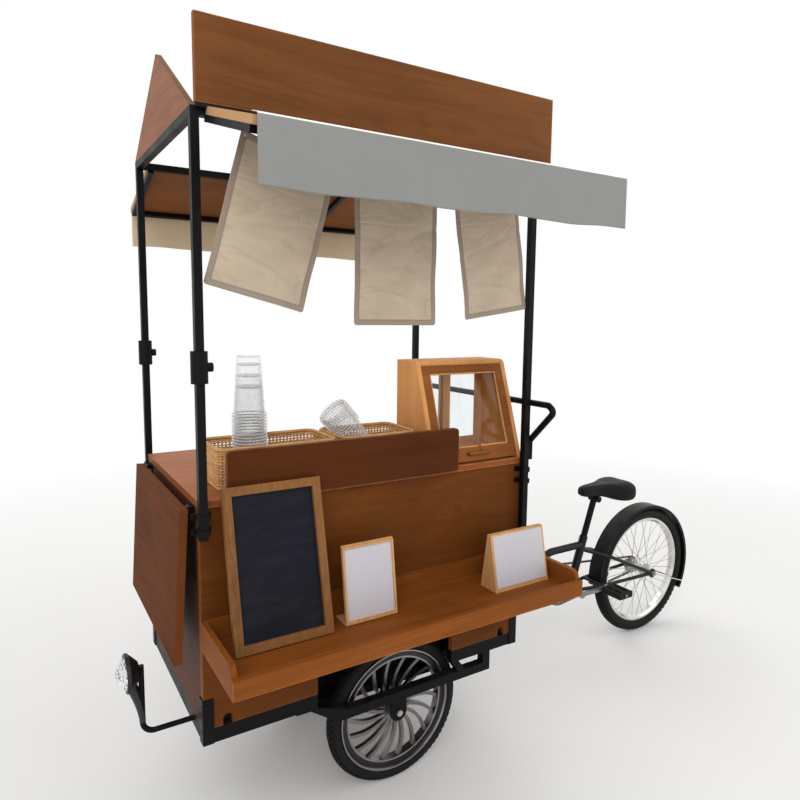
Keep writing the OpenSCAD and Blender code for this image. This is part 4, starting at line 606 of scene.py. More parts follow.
def smooth_faces(mesh, angle=math.radians(35)):
    """Smooth shading that keeps edges sharper than the angle."""
    bm = bmesh.new()
    bm.from_mesh(mesh)
    for f in bm.faces:
        f.smooth = True
    for e in bm.edges:
        e.smooth = len(e.link_faces) == 2 and e.calc_face_angle(0) < angle
    bm.to_mesh(mesh)
    bm.free()


def sheet_mesh(name, across, down, place, rim=None):
    """A grid of across by down cells; place gives a point and a UV in metres for shares of the cut."""
    mesh = bpy.data.meshes.new(name)
    points, cuts = [], []
    for j in range(down + 1):
        for i in range(across + 1):
            p, uv = place(i / across, j / down)
            points.append(p)
            cuts.append(uv)
    wide = across + 1
    starts = [j * wide + i for j in range(down) for i in range(across)]
    faces = [(k, k + 1, k + wide + 1, k + wide) for k in starts]
    mesh.from_pydata(points, [], faces)
    layer = mesh.uv_layers.new(name="UVMap")
    for loop in mesh.loops:
        layer.data[loop.index].uv = cuts[loop.vertex_index]
    if rim:
        store = mesh.attributes.new("rim", "FLOAT", "POINT")
        for i, uv in enumerate(cuts):
            store.data[i].value = min(uv[0], rim[0] - uv[0], uv[1], rim[1] - uv[1])
    for f in mesh.polygons:
        f.use_smooth = True
    return mesh


def thicken(obj, amount):
    """Gives a sheet its thickness, half to each side."""
    solid = obj.modifiers.new("Cloth", "SOLIDIFY")
    solid.thickness = amount
    solid.offset = 0.0
    mesh = evaluated_mesh(obj)
    obj.modifiers.remove(solid)
    old = obj.data
    obj.data = mesh
    bpy.data.meshes.remove(old)


def lathe(name, profile, steps, close=False):
    """Turns a profile of (radius, height) about +Z; points on the axis are welded."""
    bm = bmesh.new()
    rings = []
    turns = [2 * math.pi * k / steps for k in range(steps)]
    for r, z in profile:
        if r < 1e-6:
            rings.append([bm.verts.new((0, 0, z))] * steps)
        else:
            rings.append([bm.verts.new((r * math.cos(t), r * math.sin(t), z)) for t in turns])
    pairs = list(zip(rings, rings[1:])) + ([(rings[-1], rings[0])] if close else [])
    for a, b in pairs:
        for k in range(steps):
            n = (k + 1) % steps
            corners = []
            for v in (a[k], a[n], b[n], b[k]):
                if v not in corners:
                    corners.append(v)
            if len(corners) > 2:
                bm.faces.new(corners)
    bmesh.ops.recalc_face_normals(bm, faces=bm.faces)
    mesh = settled(bm, name)
    smooth_faces(mesh)
    return mesh


def bridge(bm, rings):
    """A skin over a row of rings, with both ends closed."""
    for a, b in zip(rings, rings[1:]):
        for k in range(len(a)):
            n = (k + 1) % len(a)
            bm.faces.new((a[k], a[n], b[n], b[k]))
    for ring in (rings[0], rings[-1]):
        bm.faces.new(ring)
    bmesh.ops.recalc_face_normals(bm, faces=bm.faces)


def box_into(bm, low, high):
    """Adds a box between two corners and returns its points."""
    size = Vector(high) - Vector(low)
    middle = (Vector(high) + Vector(low)) / 2
    made = bmesh.ops.create_cube(
        bm, size=1.0, matrix=Matrix.Translation(middle) @ Matrix.Diagonal((*size, 1.0))
    )
    return made["verts"]


def tube_mesh(name, points, radius, sides=10, closed=False):
    """A round bar that follows a list of points."""
    curve = poly_curve(name, points, closed)
    curve.bevel_depth = radius
    curve.bevel_resolution = max(1, sides // 4)
    curve.use_fill_caps = True
    holder = link(name + "_path", curve)
    mesh = evaluated_mesh(holder)
    bpy.data.objects.remove(holder)
    bpy.data.curves.remove(curve)
    for f in mesh.polygons:
        f.use_smooth = True
    return mesh


def swept(name, path, radii, sides=20):
    """A round bar of changing radius along points that lie in an X-Z plane."""
    bm = bmesh.new()
    rings = []
    for i, (p, r) in enumerate(zip(path, radii)):
        along = (path[min(i + 1, len(path) - 1)] - path[max(i - 1, 0)]).normalized()
        out = along.cross(Vector((0, 1, 0))).normalized()
        turns = [2 * math.pi * k / sides for k in range(sides)]
        rings.append(
            [bm.verts.new(p + out * r * math.cos(t) + Vector((0, r * math.sin(t), 0))) for t in turns]
        )
    bridge(bm, rings)
    mesh = settled(bm, name)
    smooth_faces(mesh)
    return mesh


def joined(name, meshes):
    """Several meshes as one object."""
    bm = bmesh.new()
    for mesh in meshes:
        bm.from_mesh(mesh)
        bpy.data.meshes.remove(mesh)
    return link(name, settled(bm, name))


def dress(obj, mat):
    """Gives an object its one finish."""
    obj.data.materials.clear()
    obj.data.materials.append(mat)
    return obj


def paint(names, mat):
    """Gives CAD pieces a finish."""
    for name in names:
        dress(NODES[name], mat)


class CartSizes(bpy.types.PropertyGroup):
    """Sizes of the dressed pieces."""

    weave: FloatProperty(
        name="Cane pitch", description="Height of one woven row", default=0.0078, unit="LENGTH"
    )
    strand: FloatProperty(
        name="Cane radius", description="Radius of a woven strand", default=0.0022, unit="LENGTH"
    )
    border: FloatProperty(
        name="Banner border", description="Width of a banner's sewn border", default=0.016, unit="LENGTH"
    )
    cloth: FloatProperty(
        name="Cloth", description="Thickness of the valances and banners", default=0.0012, unit="LENGTH"
    )
    treads: IntProperty(
        name="Tread blocks", description="Tread blocks round a tyre", default=72, min=24, max=140
    )
    rim_pitch: FloatProperty(
        name="Cup rim pitch", description="Distance between nested cup rims", default=0.0085, unit="LENGTH"
    )
    screw: FloatProperty(
        name="Screw head", description="Radius of a screw head", default=0.0042, unit="LENGTH"
    )


def tint(label, text, value):
    """A colour that the panel shows."""
    return FloatVectorProperty(
        name=label, description=text, default=value, size=3, subtype="COLOR", min=0, max=1
    )


class CartColours(bpy.types.PropertyGroup):
    """Colours of the main finishes."""

    panel: tint("Panels", "Stain of the box", srgb(108, 60, 21))
    tray: tint("Tray", "Stain of the tray", srgb(138, 77, 30))
    counter: tint("Counter", "Stain of the counter", srgb(180, 106, 60))
    sign: tint("Sign", "Stain of the sign and eaves", srgb(124, 77, 41))
    gable: tint("Gables", "Stain of the gables", srgb(154, 106, 80))
    beech: tint("Cabinet", "Lacquered timber of the cabinet", srgb(226, 160, 96))
    oak: tint("Frames", "Timber of the chalkboard's frame", srgb(146, 100, 60))
    canvas: tint("Valance", "Cloth of the serving valance", srgb(133, 134, 131))
    cream: tint("Rear valance", "Cloth of the vendor valance", srgb(214, 194, 160))
    linen: tint("Banners", "Cloth of the banners", srgb(216, 196, 170))
    hem: tint("Banner borders", "Sewn border of the banners", srgb(160, 144, 128))
    steel: tint("Black steel", "Paint of the frame and posts", srgb(15, 14, 15))
    alloy: tint("Cast alloy", "Metal of the front wheels", srgb(128, 126, 126))


class CartSettings(bpy.types.PropertyGroup):
    """All settings of the cart."""

    sizes: PointerProperty(type=CartSizes)
    colours: PointerProperty(type=CartColours)


def settings():
    """The cart's settings in this scene."""
    return bpy.context.scene.food_cart


class CART_OT_timber(bpy.types.Operator):
    """Stains and grains every timber board and coats the chalkboard"""

    bl_idname = "cart.timber"
    bl_label = "Timber boards"

    def execute(self, context):
        c = settings().colours
        shade = 0.7
        pale = srgb(206, 160, 116)
        stained = srgb(136, 78, 40)
        boards = [
            ("serving_panel", c.panel, X, Y, stained),
            # painted shade: the lamp end panel gets a darker stain than the other panels, for the shadow
            # under the drop leaf
            ("lamp_end_panel", srgb(86, 46, 20), Y, X, stained),
            ("bike_end_panel", c.panel, Y, X, stained),
            ("vendor_skirt", c.panel, X, Y, stained),
            ("rail_board", srgb(85, 43, 15), X, Y, stained),
            ("counter_top", c.counter, X, Z, stained),
            ("tray_bottom", c.tray, X, Z, None),
            ("tray_walls", srgb(140, 79, 31), X, Z, None),
            ("floor_board", c.tray, X, Z, stained),
            ("inner_shelf", c.tray, X, Z, stained),
            ("front_sign", c.sign, X, Y, stained),
        ]
        for name, colour, grain, thin, edge in boards:
            marks = 0.45 if name == "serving_panel" else 0.0
            light, dark = tuple(colour), times(colour, shade)
            stain = timber(name + "_stain", light, dark, grain, thin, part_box(name), edge, marks=marks)
            paint([name], stain)
        leaf_edge, gable_edge = srgb(112, 62, 30), srgb(124, 88, 64)
        leaf = timber("leaf_stain", srgb(106, 54, 15), srgb(84, 42, 12), Y, X, edge=leaf_edge, gloss=0.66)
        paint(["drop_leaf"], leaf)
        eave = timber("eave_stain", tuple(c.sign), times(c.sign, shade), X, Z, edge=pale, gloss=0.55)
        paint(["eave_boards"], eave)
        gable = timber(
            "gable_stain", tuple(c.gable), times(c.gable, 0.8), Y, X, edge=gable_edge, figure=1.3, gloss=0.55
        )
        paint(["gables"], gable)
        beech = timber("cabinet_timber", tuple(c.beech), times(c.beech, 0.74), Z, X, figure=0.8)
        paint(["cabinet_case", "left_door", "right_door"], beech)
        front = timber("cabinet_front_timber", srgb(150, 90, 45), srgb(118, 67, 30), X, Y, figure=0.9)
        paint(["cabinet_front"], front)
        paint(["chalkboard_frame"], timber("oak_frame", tuple(c.oak), times(c.oak, 0.5), Z, Y, figure=3.2))
        holder = timber("holder_timber", srgb(214, 168, 116), srgb(184, 134, 84), Z, Y, figure=1.2)
        paint(["card_holder", "wedge_card_holder"], holder)
        paint(["chalkboard_panel"], slate("blackboard", srgb(23, 24, 33), srgb(190, 190, 186)))
        return {"FINISHED"}


class CART_OT_steelwork(bpy.types.Operator):
    """Paints and plates the metal, glazes the cabinet and covers the pedals"""

    bl_idname = "cart.steelwork"
    bl_label = "Steel and glass"

    def execute(self, context):
        c = settings().colours
        dust = srgb(120, 108, 96)
        painted = [
            "base_frame", "posts", "steel_fittings", "roof_frame",
            "push_handle", "leaf_arms", "lamp_arm", "seat_post",
        ]
        black = metal(
            "black_paint", tuple(c.steel), 0.46, 0.0, 160.0, 0.12, bump=0.05, dust=dust, shine=0.11
        )
        paint(painted, black)
        enamel = metal(
            "bicycle_enamel", srgb(12, 16, 13), 0.3, 0.0, 90.0, bump=0.02, dust=dust, coat=0.05, shine=0.2
        )
        paint(["bike_frame"], enamel)
        moulding = metal("mudguard_moulding", srgb(13, 11, 10), 0.36, 0.0, 200.0, dust=dust, shine=0.14)
        paint(["mudguard"], moulding)
        paint(["lamp_shell"], metal("lamp_moulding", srgb(24, 24, 25), 0.3, 0.0, 200.0, bump=0.02))
        bright = metal("plain_steel", srgb(176, 174, 170), 0.34, grain=400.0, spread=0.12)
        paint(["cart_pins", "drive_axle", "drive_hub"], bright)
        paint(["crank_set"], metal("crank_alloy", srgb(150, 148, 146), 0.38, spread=0.14))
        plating = metal("plating", srgb(214, 212, 206), 0.16, spread=0.08, bump=0.02)
        paint(["mudguard_stays", "drive_rim"], plating)
        for name in ("serving_wheel", "vendor_wheel"):
            paint([name], cast_wheel(name + "_alloy", tuple(c.alloy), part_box(name)))
        paint(["cabinet_pull"], metal("worn_brass", srgb(128, 88, 52), 0.34, spread=0.14))
        glass = clear("cabinet_glass", (0.95, 0.97, 0.97), rough=0.01, ior=1.22, streak=0.03)
        paint(["cabinet_front_glass", "left_pane", "right_pane"], glass)
        paint(["near_pedal", "far_pedal"], rubber("pedal_rubber", srgb(24, 23, 23)))
        return {"FINISHED"}


class CART_OT_valances(bpy.types.Operator):
    """Hangs the two canvas valances from the eaves"""

    bl_idname = "cart.valances"
    bl_label = "Valances"

    def execute(self, context):
        c, s = settings().colours, settings().sizes
        wide, tall, back = 1.017, 0.134, 0.03
        cut = tall + back
        roof_slope = math.tan(math.radians(16.8))
        clear_of_eave, lift, white_line_at = 0.0045, 0.0016, 0.1312
        flute, sway, scallop = 0.0026, 0.0016, 0.0022
        # a thin white line across each valance just under its top fold
        top_fold_white = srgb(244, 243, 240)
        for node, colour, sign, seed in (
            ("serving_valance", c.canvas, -1, 0.0), ("vendor_valance", c.cream, 1, 1.7)
        ):
            low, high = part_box(node)
            face = (low[1] + clear_of_eave) if sign < 0 else (high[1] - clear_of_eave)
            top = high[2]

            def place(u, v):
                x = low[0] + wide * u
                run = v * cut
                if run <= tall:
                    drop = 1 - run / tall
                    wave = flute * drop ** 0.7 * math.sin(2 * math.pi * (7 * u + 0.1 * seed))
                    wave += sway * drop * math.sin(2 * math.pi * (2.3 * u + seed))
                    edge = scallop * drop * math.sin(2 * math.pi * (3.1 * u + 0.3 + seed))
                    return (x, face + sign * wave, top - tall * drop + edge + lift), (wide * u, run)
                over = run - tall
                return (x, face - sign * over, top + lift + over * roof_slope), (wide * u, run)

            mesh = sheet_mesh(node + "_cloth", 150, 41, place, (wide, cut))
            obj = link(node + "_cloth", mesh)
            thicken(obj, s.cloth)
            light = tuple(colour)
            # the darker canvas tone serves the threads and slubs and also the painted shade of the folds and
            # creases
            canvas = woven(
                node + "_weave", light, times(light, 0.93), 0.0011, top_fold_white,
                crease=0.12, rough=0.7, sheen=0.1, fold_line=white_line_at,
            )
            dress(obj, canvas)
            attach(obj, "cart")
            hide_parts(node)
        return {"FINISHED"}


class CART_OT_banners(bpy.types.Operator):
    """Hangs the three linen banners by their tapes"""

    bl_idname = "cart.banners"
    bl_label = "Banners"

    def execute(self, context):
        c, s = settings().colours, settings().sizes
        # the darker linen and tape tones serve the threads and slubs and also the painted shade of the folds
        # and creases
        linen = woven(
            "banner_linen", tuple(c.linen), times(c.linen, 0.74), 0.0013, tuple(c.hem), s.border, crease=0.7
        )
        tape = woven("banner_tape", srgb(214, 208, 196), srgb(186, 178, 164), 0.0011)
        rail, hang_y, tape_y = 1.865, -0.02, -0.0215
        tape_inset, tape_wide, tape_thick, tape_sway = 0.012, 0.008, 0.001, 0.0012
        belly, ripple, small_ripple, fold, tuck, corner = 0.0032, 0.0024, 0.0012, 0.0014, 0.0012, 0.005
        cuts = [
            ("lamp_end_banner", 0.254, 0.370, 0.190, 1.641, -15.0, 0.2),
            ("middle_banner", 0.258, 0.458, 0.542, 1.628, 0.0, 1.1),
            ("bike_end_banner", 0.236, 0.412, 0.868, 1.636, 8.7, 2.3),
        ]
        for node, wide, tall, x, z, turn, seed in cuts:
            a = math.radians(turn)

            def turned(p, q):
                return x + p * math.cos(a) - q * math.sin(a), z + p * math.sin(a) + q * math.cos(a)

            def place(u, v):
                p, q = (u - 0.5) * wide, (v - 0.5) * tall
                if u in (0, 1) and v in (0, 1):
                    p, q = p * (1 - corner / wide), q * (1 - corner / tall)
                loose = 0.35 + 0.65 * (1 - v)
                out = belly * math.sin(2 * math.pi * u)
                out += ripple * loose * math.sin(2 * math.pi * (1.5 * v + 0.8 * u + seed))
                out += small_ripple * loose * math.sin(2 * math.pi * (3.1 * v - 1.7 * u + seed))
                out += fold * math.exp(-((v - 0.42 - 0.16 * u) / 0.02) ** 2)
                out -= tuck * math.exp(-((u - 0.63) / 0.03) ** 2) * loose
                px, pz = turned(p, q)
                return at(px, hang_y + out, pz), (u * wide, v * tall)

            obj = link(node + "_cloth", sheet_mesh(node + "_cloth", 56, 88, place, (wide, tall)))
            thicken(obj, s.cloth)
            dress(obj, linen)
            strips = []
            for side in (-1, 1):
                px, pz = turned(side * (wide / 2 - tape_inset), tall / 2 - tape_inset)
                out = belly * math.sin(math.pi * (1 + side * (1 - 2 * tape_inset / wide)))

                def strip(u, v):
                    y = tape_y + out * (1 - v) + tape_sway * math.sin(5 * v)
                    run = (rail - pz) * v
                    return at(px + (u - 0.5) * tape_wide, y, pz + run), (u * tape_wide, run)

                strips.append(sheet_mesh(node + "_tape", 2, 12, strip))
            tapes = joined(node + "_tapes", strips)
            thicken(tapes, tape_thick)
            dress(tapes, tape)
            for piece in (obj, tapes):
                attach(piece, "cart")
            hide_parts(node)
        return {"FINISHED"}


def round_corners(low, high, r, z):
    """Points round a rectangle with round corners."""
    points = []
    corners = (
        (high[X] - r, low[Y] + r, -90),
        (high[X] - r, high[Y] - r, 0),
        (low[X] + r, high[Y] - r, 90),
        (low[X] + r, low[Y] + r, 180),
    )
    for cx, cy, start in corners:
        for k in range(9):
            a = math.radians(start + 90 * k / 8)
            points.append((cx + r * math.cos(a), cy + r * math.sin(a), z))
    return points


class CART_OT_baskets(bpy.types.Operator):
    """Weaves the two cane baskets"""

    bl_idname = "cart.baskets"
    bl_label = "Baskets"

    def execute(self, context):
        s = settings().sizes
        tan = cane("split_cane", srgb(228, 180, 116), srgb(180, 128, 70))
        weave = wicker_tree()
        corner, inset, rim_inset, stake_pitch = 0.026, 0.0042, 0.004, 0.022
        woven_z, woven_tall, swing = 0.006, 0.094, 0.0024
        slat_pitch, slat_half, slat_inset = 0.009, 0.0036, 0.012
        second_x = BASKET_X + FIRST_BASKET + BASKET_GAP
        parts = []
        for i, (x0, long) in enumerate(((BASKET_X, FIRST_BASKET), (second_x, SECOND_BASKET))):
            lo = at(x0, BASKET_Y, COUNTER_Z)
            hi = at(x0 + long, BASKET_Y + BASKET_DEEP, COUNTER_Z + BASKET_TALL)

            def loop(by, z):
                step = Vector((by, by, 0))
                return round_corners(lo + step, hi - step, corner, z)

            curve = poly_curve("basket_loop", loop(inset, lo.z + woven_z))
            values = {
                "Stakes": 2 * round((2 * (long + BASKET_DEEP) - 0.05) / stake_pitch),
                "Rows": int(woven_tall / s.weave),
                "Pitch": s.weave,
                "Depth": swing,
                "Strand": s.strand,
                "Material": tan,
            }
            wall = grown(f"basket_wall_{i}", curve, weave, values)
            bpy.data.curves.remove(curve)
            parts.append(wall.data)
            bpy.data.objects.remove(wall)
            for z, r in ((hi.z - 0.0005, 0.005), (hi.z - 0.008, 0.0034), (lo.z + 0.004, 0.004)):
                parts.append(tube_mesh("rim", loop(rim_inset, z), r, 10, True))
            bm = bmesh.new()
            slats = int(BASKET_DEEP / slat_pitch)
            for k in range(1, slats):
                y = lo.y + BASKET_DEEP * k / slats
                low = (lo.x + slat_inset, y - slat_half, lo.z + 0.001)
                box_into(bm, low, (hi.x - slat_inset, y + slat_half, lo.z + 0.004))
            parts.append(settled(bm, "floor"))
        both = joined("cane_baskets", parts)
        dress(both, tan)
        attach(both, "cart")
        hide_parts("baskets")
        return {"FINISHED"}


class CART_OT_cups(bpy.types.Operator):
    """Stacks the clear cups"""

    bl_idname = "cart.cups"
    bl_label = "Cups"

    def execute(self, context):
        s = settings().sizes
        plastic = thin_plastic("cup_plastic", srgb(238, 238, 238), 0.09, 0.6)
        dense = thin_plastic("cup_rims", srgb(236, 236, 236), 0.36, 0.85)
        mouth, foot, crown, sides = 0.0484, 0.036, 0.0318, 56
        cup_y, basket_floor = 0.1445, 0.983
        stack_tall, top_cup, lean_long, lean_rims = 0.184, 0.15, 0.19, 0.076

        def turned(points, close=False):
            return lathe("cup", points, sides, close)

        def rims(z0, count):
            out = []
            for k in range(count):
                z = z0 + k * s.rim_pitch
                ring = [(0.003, 0.0), (0.0006, 0.0003), (0.0, 0.0016), (0.0006, 0.003), (0.003, 0.0033)]
                out.append(turned([(mouth - inset, z + rise) for inset, rise in ring], True))
            return out

        def base(z, q):
            outline = [(0.0, z), (q - 0.005, z + 0.001), (q - 0.001, z + 0.005), (q + 0.0008, z + 0.005)]
            outline += [(q + 0.0008, z + 0.0033), (q - 0.004, z - 0.0003), (0.0, z - 0.0013)]
            return turned(outline)

        count = int(stack_tall / s.rim_pitch)
        top = 0.003 + count * s.rim_pitch
        standing_rims = rims(0.002, count)
        standing = [turned([(mouth - 0.0042, 0.001), (mouth - 0.0062, top), (crown, top + top_cup)])]
        standing.append(base(top + top_cup - 0.0045, crown))
        for k in range(3):
            rise = 0.128 - 0.03 * k
            inner = crown + (mouth - 0.0075 - crown) * (1 - rise / top_cup) - 0.0022
            foot_of_wall = (mouth - 0.0075 - 0.0006 * k, 0.002 + 0.014 * k)
            standing.append(turned([foot_of_wall, (mouth - 0.0088 - 0.0004 * k, top), (inner, top + rise)]))
            standing_rims.append(base(top + rise - 0.004, inner))

        lean = math.radians(41)
        n = int(lean_rims / s.rim_pitch)
        z0 = lean_long - n * s.rim_pitch - 0.001
        leaning_rims = rims(z0, n)
        leaning = [turned([(foot, 0.002), (mouth - 0.006, z0), (mouth - 0.0045, lean_long - 0.001)])]
        for k in range(2):
            low = (foot - 0.002, 0.02 + 0.016 * k)
            high = (mouth - 0.009 - 0.001 * k, lean_long - 0.004 - 0.003 * k)
            leaning.append(turned([low, high]))
        under = [(0.0, 0.004), (foot - 0.005, 0.003), (foot, 0.0)]
        leaning.append(turned(under + [(foot + 0.0006, 0.002), (foot - 0.005, 0.0046), (0.0, 0.0052)]))
        lip = [(mouth - 0.0055, lean_long - 0.02), (mouth - 0.0035, lean_long), (mouth - 0.0045, lean_long)]
        leaning_rims.append(turned(lip))

        standing_at = Matrix.Translation(at(BASKET_X + FIRST_BASKET / 3, cup_y, basket_floor))
        foot_z = basket_floor + foot * math.sin(lean)
        cup_wide, rim_clear, wall_gap, taper = 0.097, 0.0052, 0.003, 0.042
        half = cup_wide / 2 - cup_wide * taper
        drop = COUNTER_Z + BASKET_TALL - foot_z
        second_x = BASKET_X + FIRST_BASKET + BASKET_GAP
        lean_x = second_x + wall_gap + (half + rim_clear + drop * math.sin(lean)) / math.cos(lean)
        leaning_at = Matrix.Translation(at(lean_x, cup_y, foot_z + 0.0004)) @ Matrix.Rotation(-lean, 4, "Y")
        for mesh in standing + standing_rims:
            mesh.transform(standing_at)
        for mesh in leaning + leaning_rims:
            mesh.transform(leaning_at)
        walls = dress(joined("cup_stacks", standing + leaning), plastic)
        rings = dress(joined("cup_rims", standing_rims + leaning_rims), dense)
        for obj in (walls, rings):
            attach(obj, "cart")
        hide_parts("cups")
        return {"FINISHED"}


class CART_OT_saddle(bpy.types.Operator):
    """Shapes and covers the saddle pad"""

    bl_idname = "cart.saddle"
    bl_label = "Saddle"

    def execute(self, context):
        low, high = (Vector(v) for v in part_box("saddle"))
        mid = (low.y + high.y) / 2
        length, half, tall = high.x - low.x, (high.y - low.y) / 2, high.z - low.z
        around, dip = 28, 0.004
        # shares of the saddle's length, half width and height: place, width, top, underside
        station_shares = [
            (0.0, 0.13, 0.66, 0.28),
            (0.03, 0.22, 0.8, 0.14),
            (0.1, 0.27, 0.88, 0.04),
            (0.24, 0.3, 0.92, -0.01),
            (0.4, 0.4, 0.92, -0.05),
            (0.55, 0.62, 0.92, -0.24),
            (0.68, 0.86, 0.95, -0.46),
            (0.8, 0.98, 0.985, -0.58),
            (0.9, 0.98, 0.975, -0.6),
            (0.965, 0.86, 0.9, -0.5),
            (1.0, 0.56, 0.7, -0.26),
        ]
        bm = bmesh.new()
        rings = []
        for t, w, h, under in station_shares:
            x = low.x + length * t
            top = low.z + tall * h
            base = low.z + tall * under
            ring = []
            for k in range(around):
                a = 2 * math.pi * k / around
                sy, sz = math.sin(a), math.cos(a)
                y = half * w * math.copysign(abs(sy) ** 0.8, sy)
                z = (top + base) / 2 + (top - base) / 2 * math.copysign(abs(sz) ** 0.62, sz)
                if sz > 0.3:
                    z -= dip * (1 - min(1.0, abs(sy) * 2.2)) * min(1.0, t * 2.5)
                ring.append(bm.verts.new((x, mid + y, z)))
            rings.append(ring)
        bridge(bm, rings)
        mesh = settled(bm, "saddle_pad")
        for f in mesh.polygons:
            f.use_smooth = True
        obj = link("saddle_pad", mesh)
        soft = obj.modifiers.new("Round", "SUBSURF")
        soft.levels = soft.render_levels = 2
        dress(obj, rubber("saddle_cover", srgb(12, 11, 12), 0.5, 620.0, 0.3, srgb(44, 41, 39)))
        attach(obj, "seat")
        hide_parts("saddle")
        return {"FINISHED"}


def tyre_mesh(name, r, width, seat):
    """A tyre turned about +Z with ribbed walls, seated on its rim."""
    half = width / 2
    steps, rib_tall, tread_deep = 40, 0.0006, 0.0026
    profile = []
    reach = math.degrees(math.acos(max(-1, (seat - (r - half)) / half)))
    for k in range(steps + 1):
        a = math.radians(-reach + 2 * reach * k / steps)
        on_wall = 4 < k < 14 or 26 < k < 37
        wall = half - tread_deep + (rib_tall if on_wall and k % 5 == 0 else 0.0)
        profile.append((max(seat, r - half + wall * math.cos(a)), wall * math.sin(a)))
    return lathe(name, profile, 128, True)


class CART_OT_tyres(bpy.types.Operator):
    """Turns the tyres and sets their tread blocks"""

    bl_idname = "cart.tyres"
    bl_label = "Tyres"

    def execute(self, context):
        s = settings().sizes
        black = rubber("tyre_rubber", srgb(17, 16, 16), 0.66, 500.0, 0.08)
        ring = ring_tree()
        vendor_axle = (FRONT_AXLE[X], BOX_DEEP - FRONT_AXLE[Y], FRONT_AXLE[Z])
        tyres = [
            ("serving_tyre", "serving_side_wheel", FRONT_AXLE, 0.047, 0.188),
            ("vendor_tyre", "vendor_side_wheel", vendor_axle, 0.047, 0.188),
            ("drive_tyre", "drive_wheel", DRIVE_AXLE, 0.057, 0.238),
        ]
        # degrees from the middle of the tread, degrees across, share of a pitch that the lane is shifted
        lanes = ((-40, 20, 0.5), (-15, 22, 0.0), (15, 22, 0.5), (40, 20, 0.0))
        block_share, block_deep, proud, sunk, lean = 0.36, 0.0026, 0.0004, 0.0005, 14
        for node, body, axle, width, seat in tyres:
            centre, r = at(*axle), axle[Z]
            carcass = tyre_mesh(node + "_carcass", r, width, seat)
            carcass.transform(Matrix.Translation(centre) @ Matrix.Rotation(math.pi / 2, 4, "X"))
            bm = bmesh.new()
            half = width / 2
            block = 2 * math.pi * r / s.treads * block_share
            for lane, (spot, span, shift) in enumerate(lanes):
                a = math.radians(spot)
                grip = half * math.radians(span)
                verts = box_into(bm, (-block, -grip / 2, -block_deep), (block, grip / 2, proud))
                slant = Matrix.Rotation(math.radians(lean if lane % 2 else -lean), 4, "Z")
                roll = Matrix.Rotation(-a, 4, "X")
                lift = Matrix.Translation((0, half * math.sin(a), r - half + (half - sunk) * math.cos(a)))
                spin = Matrix.Rotation(shift * 2 * math.pi / s.treads, 4, "Y")
                bmesh.ops.transform(bm, matrix=spin @ lift @ roll @ slant, verts=verts)
            values = {"Count": s.treads, "Axis": (0, 1, 0), "Centre": tuple(centre), "Material": black}
            blocks = grown(node + "_blocks", settled(bm, "tread_slice"), ring, values)
            tread = blocks.data
            bpy.data.objects.remove(blocks)
            obj = joined(node + "_rubber", [carcass, tread])
            dress(obj, black)
            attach(obj, body)
            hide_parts(node)
        return {"FINISHED"}


class CART_OT_rim_lips(bpy.types.Operator):
    """Turns the polished beads on both faces of the front rims"""

    bl_idname = "cart.rim_lips"
    bl_label = "Rim lips"

    def execute(self, context):
        polish = metal("polished_lip", srgb(152, 150, 149), 0.24)
        # inset from the rim's edge, place from the middle of the rim, half width
        beads = ((0.0026, 0.0205, 0.0022), (0.0252, 0.013, 0.0026))
        turns = [k * math.pi / 5 for k in range(10)]
        for node, body in (("serving_wheel", "serving_side_wheel"), ("vendor_wheel", "vendor_side_wheel")):
            low, high = (Vector(v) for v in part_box(node))
            rim = (high.z - low.z) / 2
            place = Matrix.Translation((low + high) / 2) @ Matrix.Rotation(math.pi / 2, 4, "X")
            made = []
            for inset, face, half in beads:
                for side in (-1, 1):
                    profile = []
                    for t in turns:
                        out = side * (face + 0.7 * half * math.sin(t))
                        profile.append((rim - inset + half * math.cos(t), out))
                    made.append(lathe("bead", profile, 96, True))
            for mesh in made:
                mesh.transform(place)
            obj = dress(joined(node + "_lips", made), polish)
            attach(obj, body)
        return {"FINISHED"}


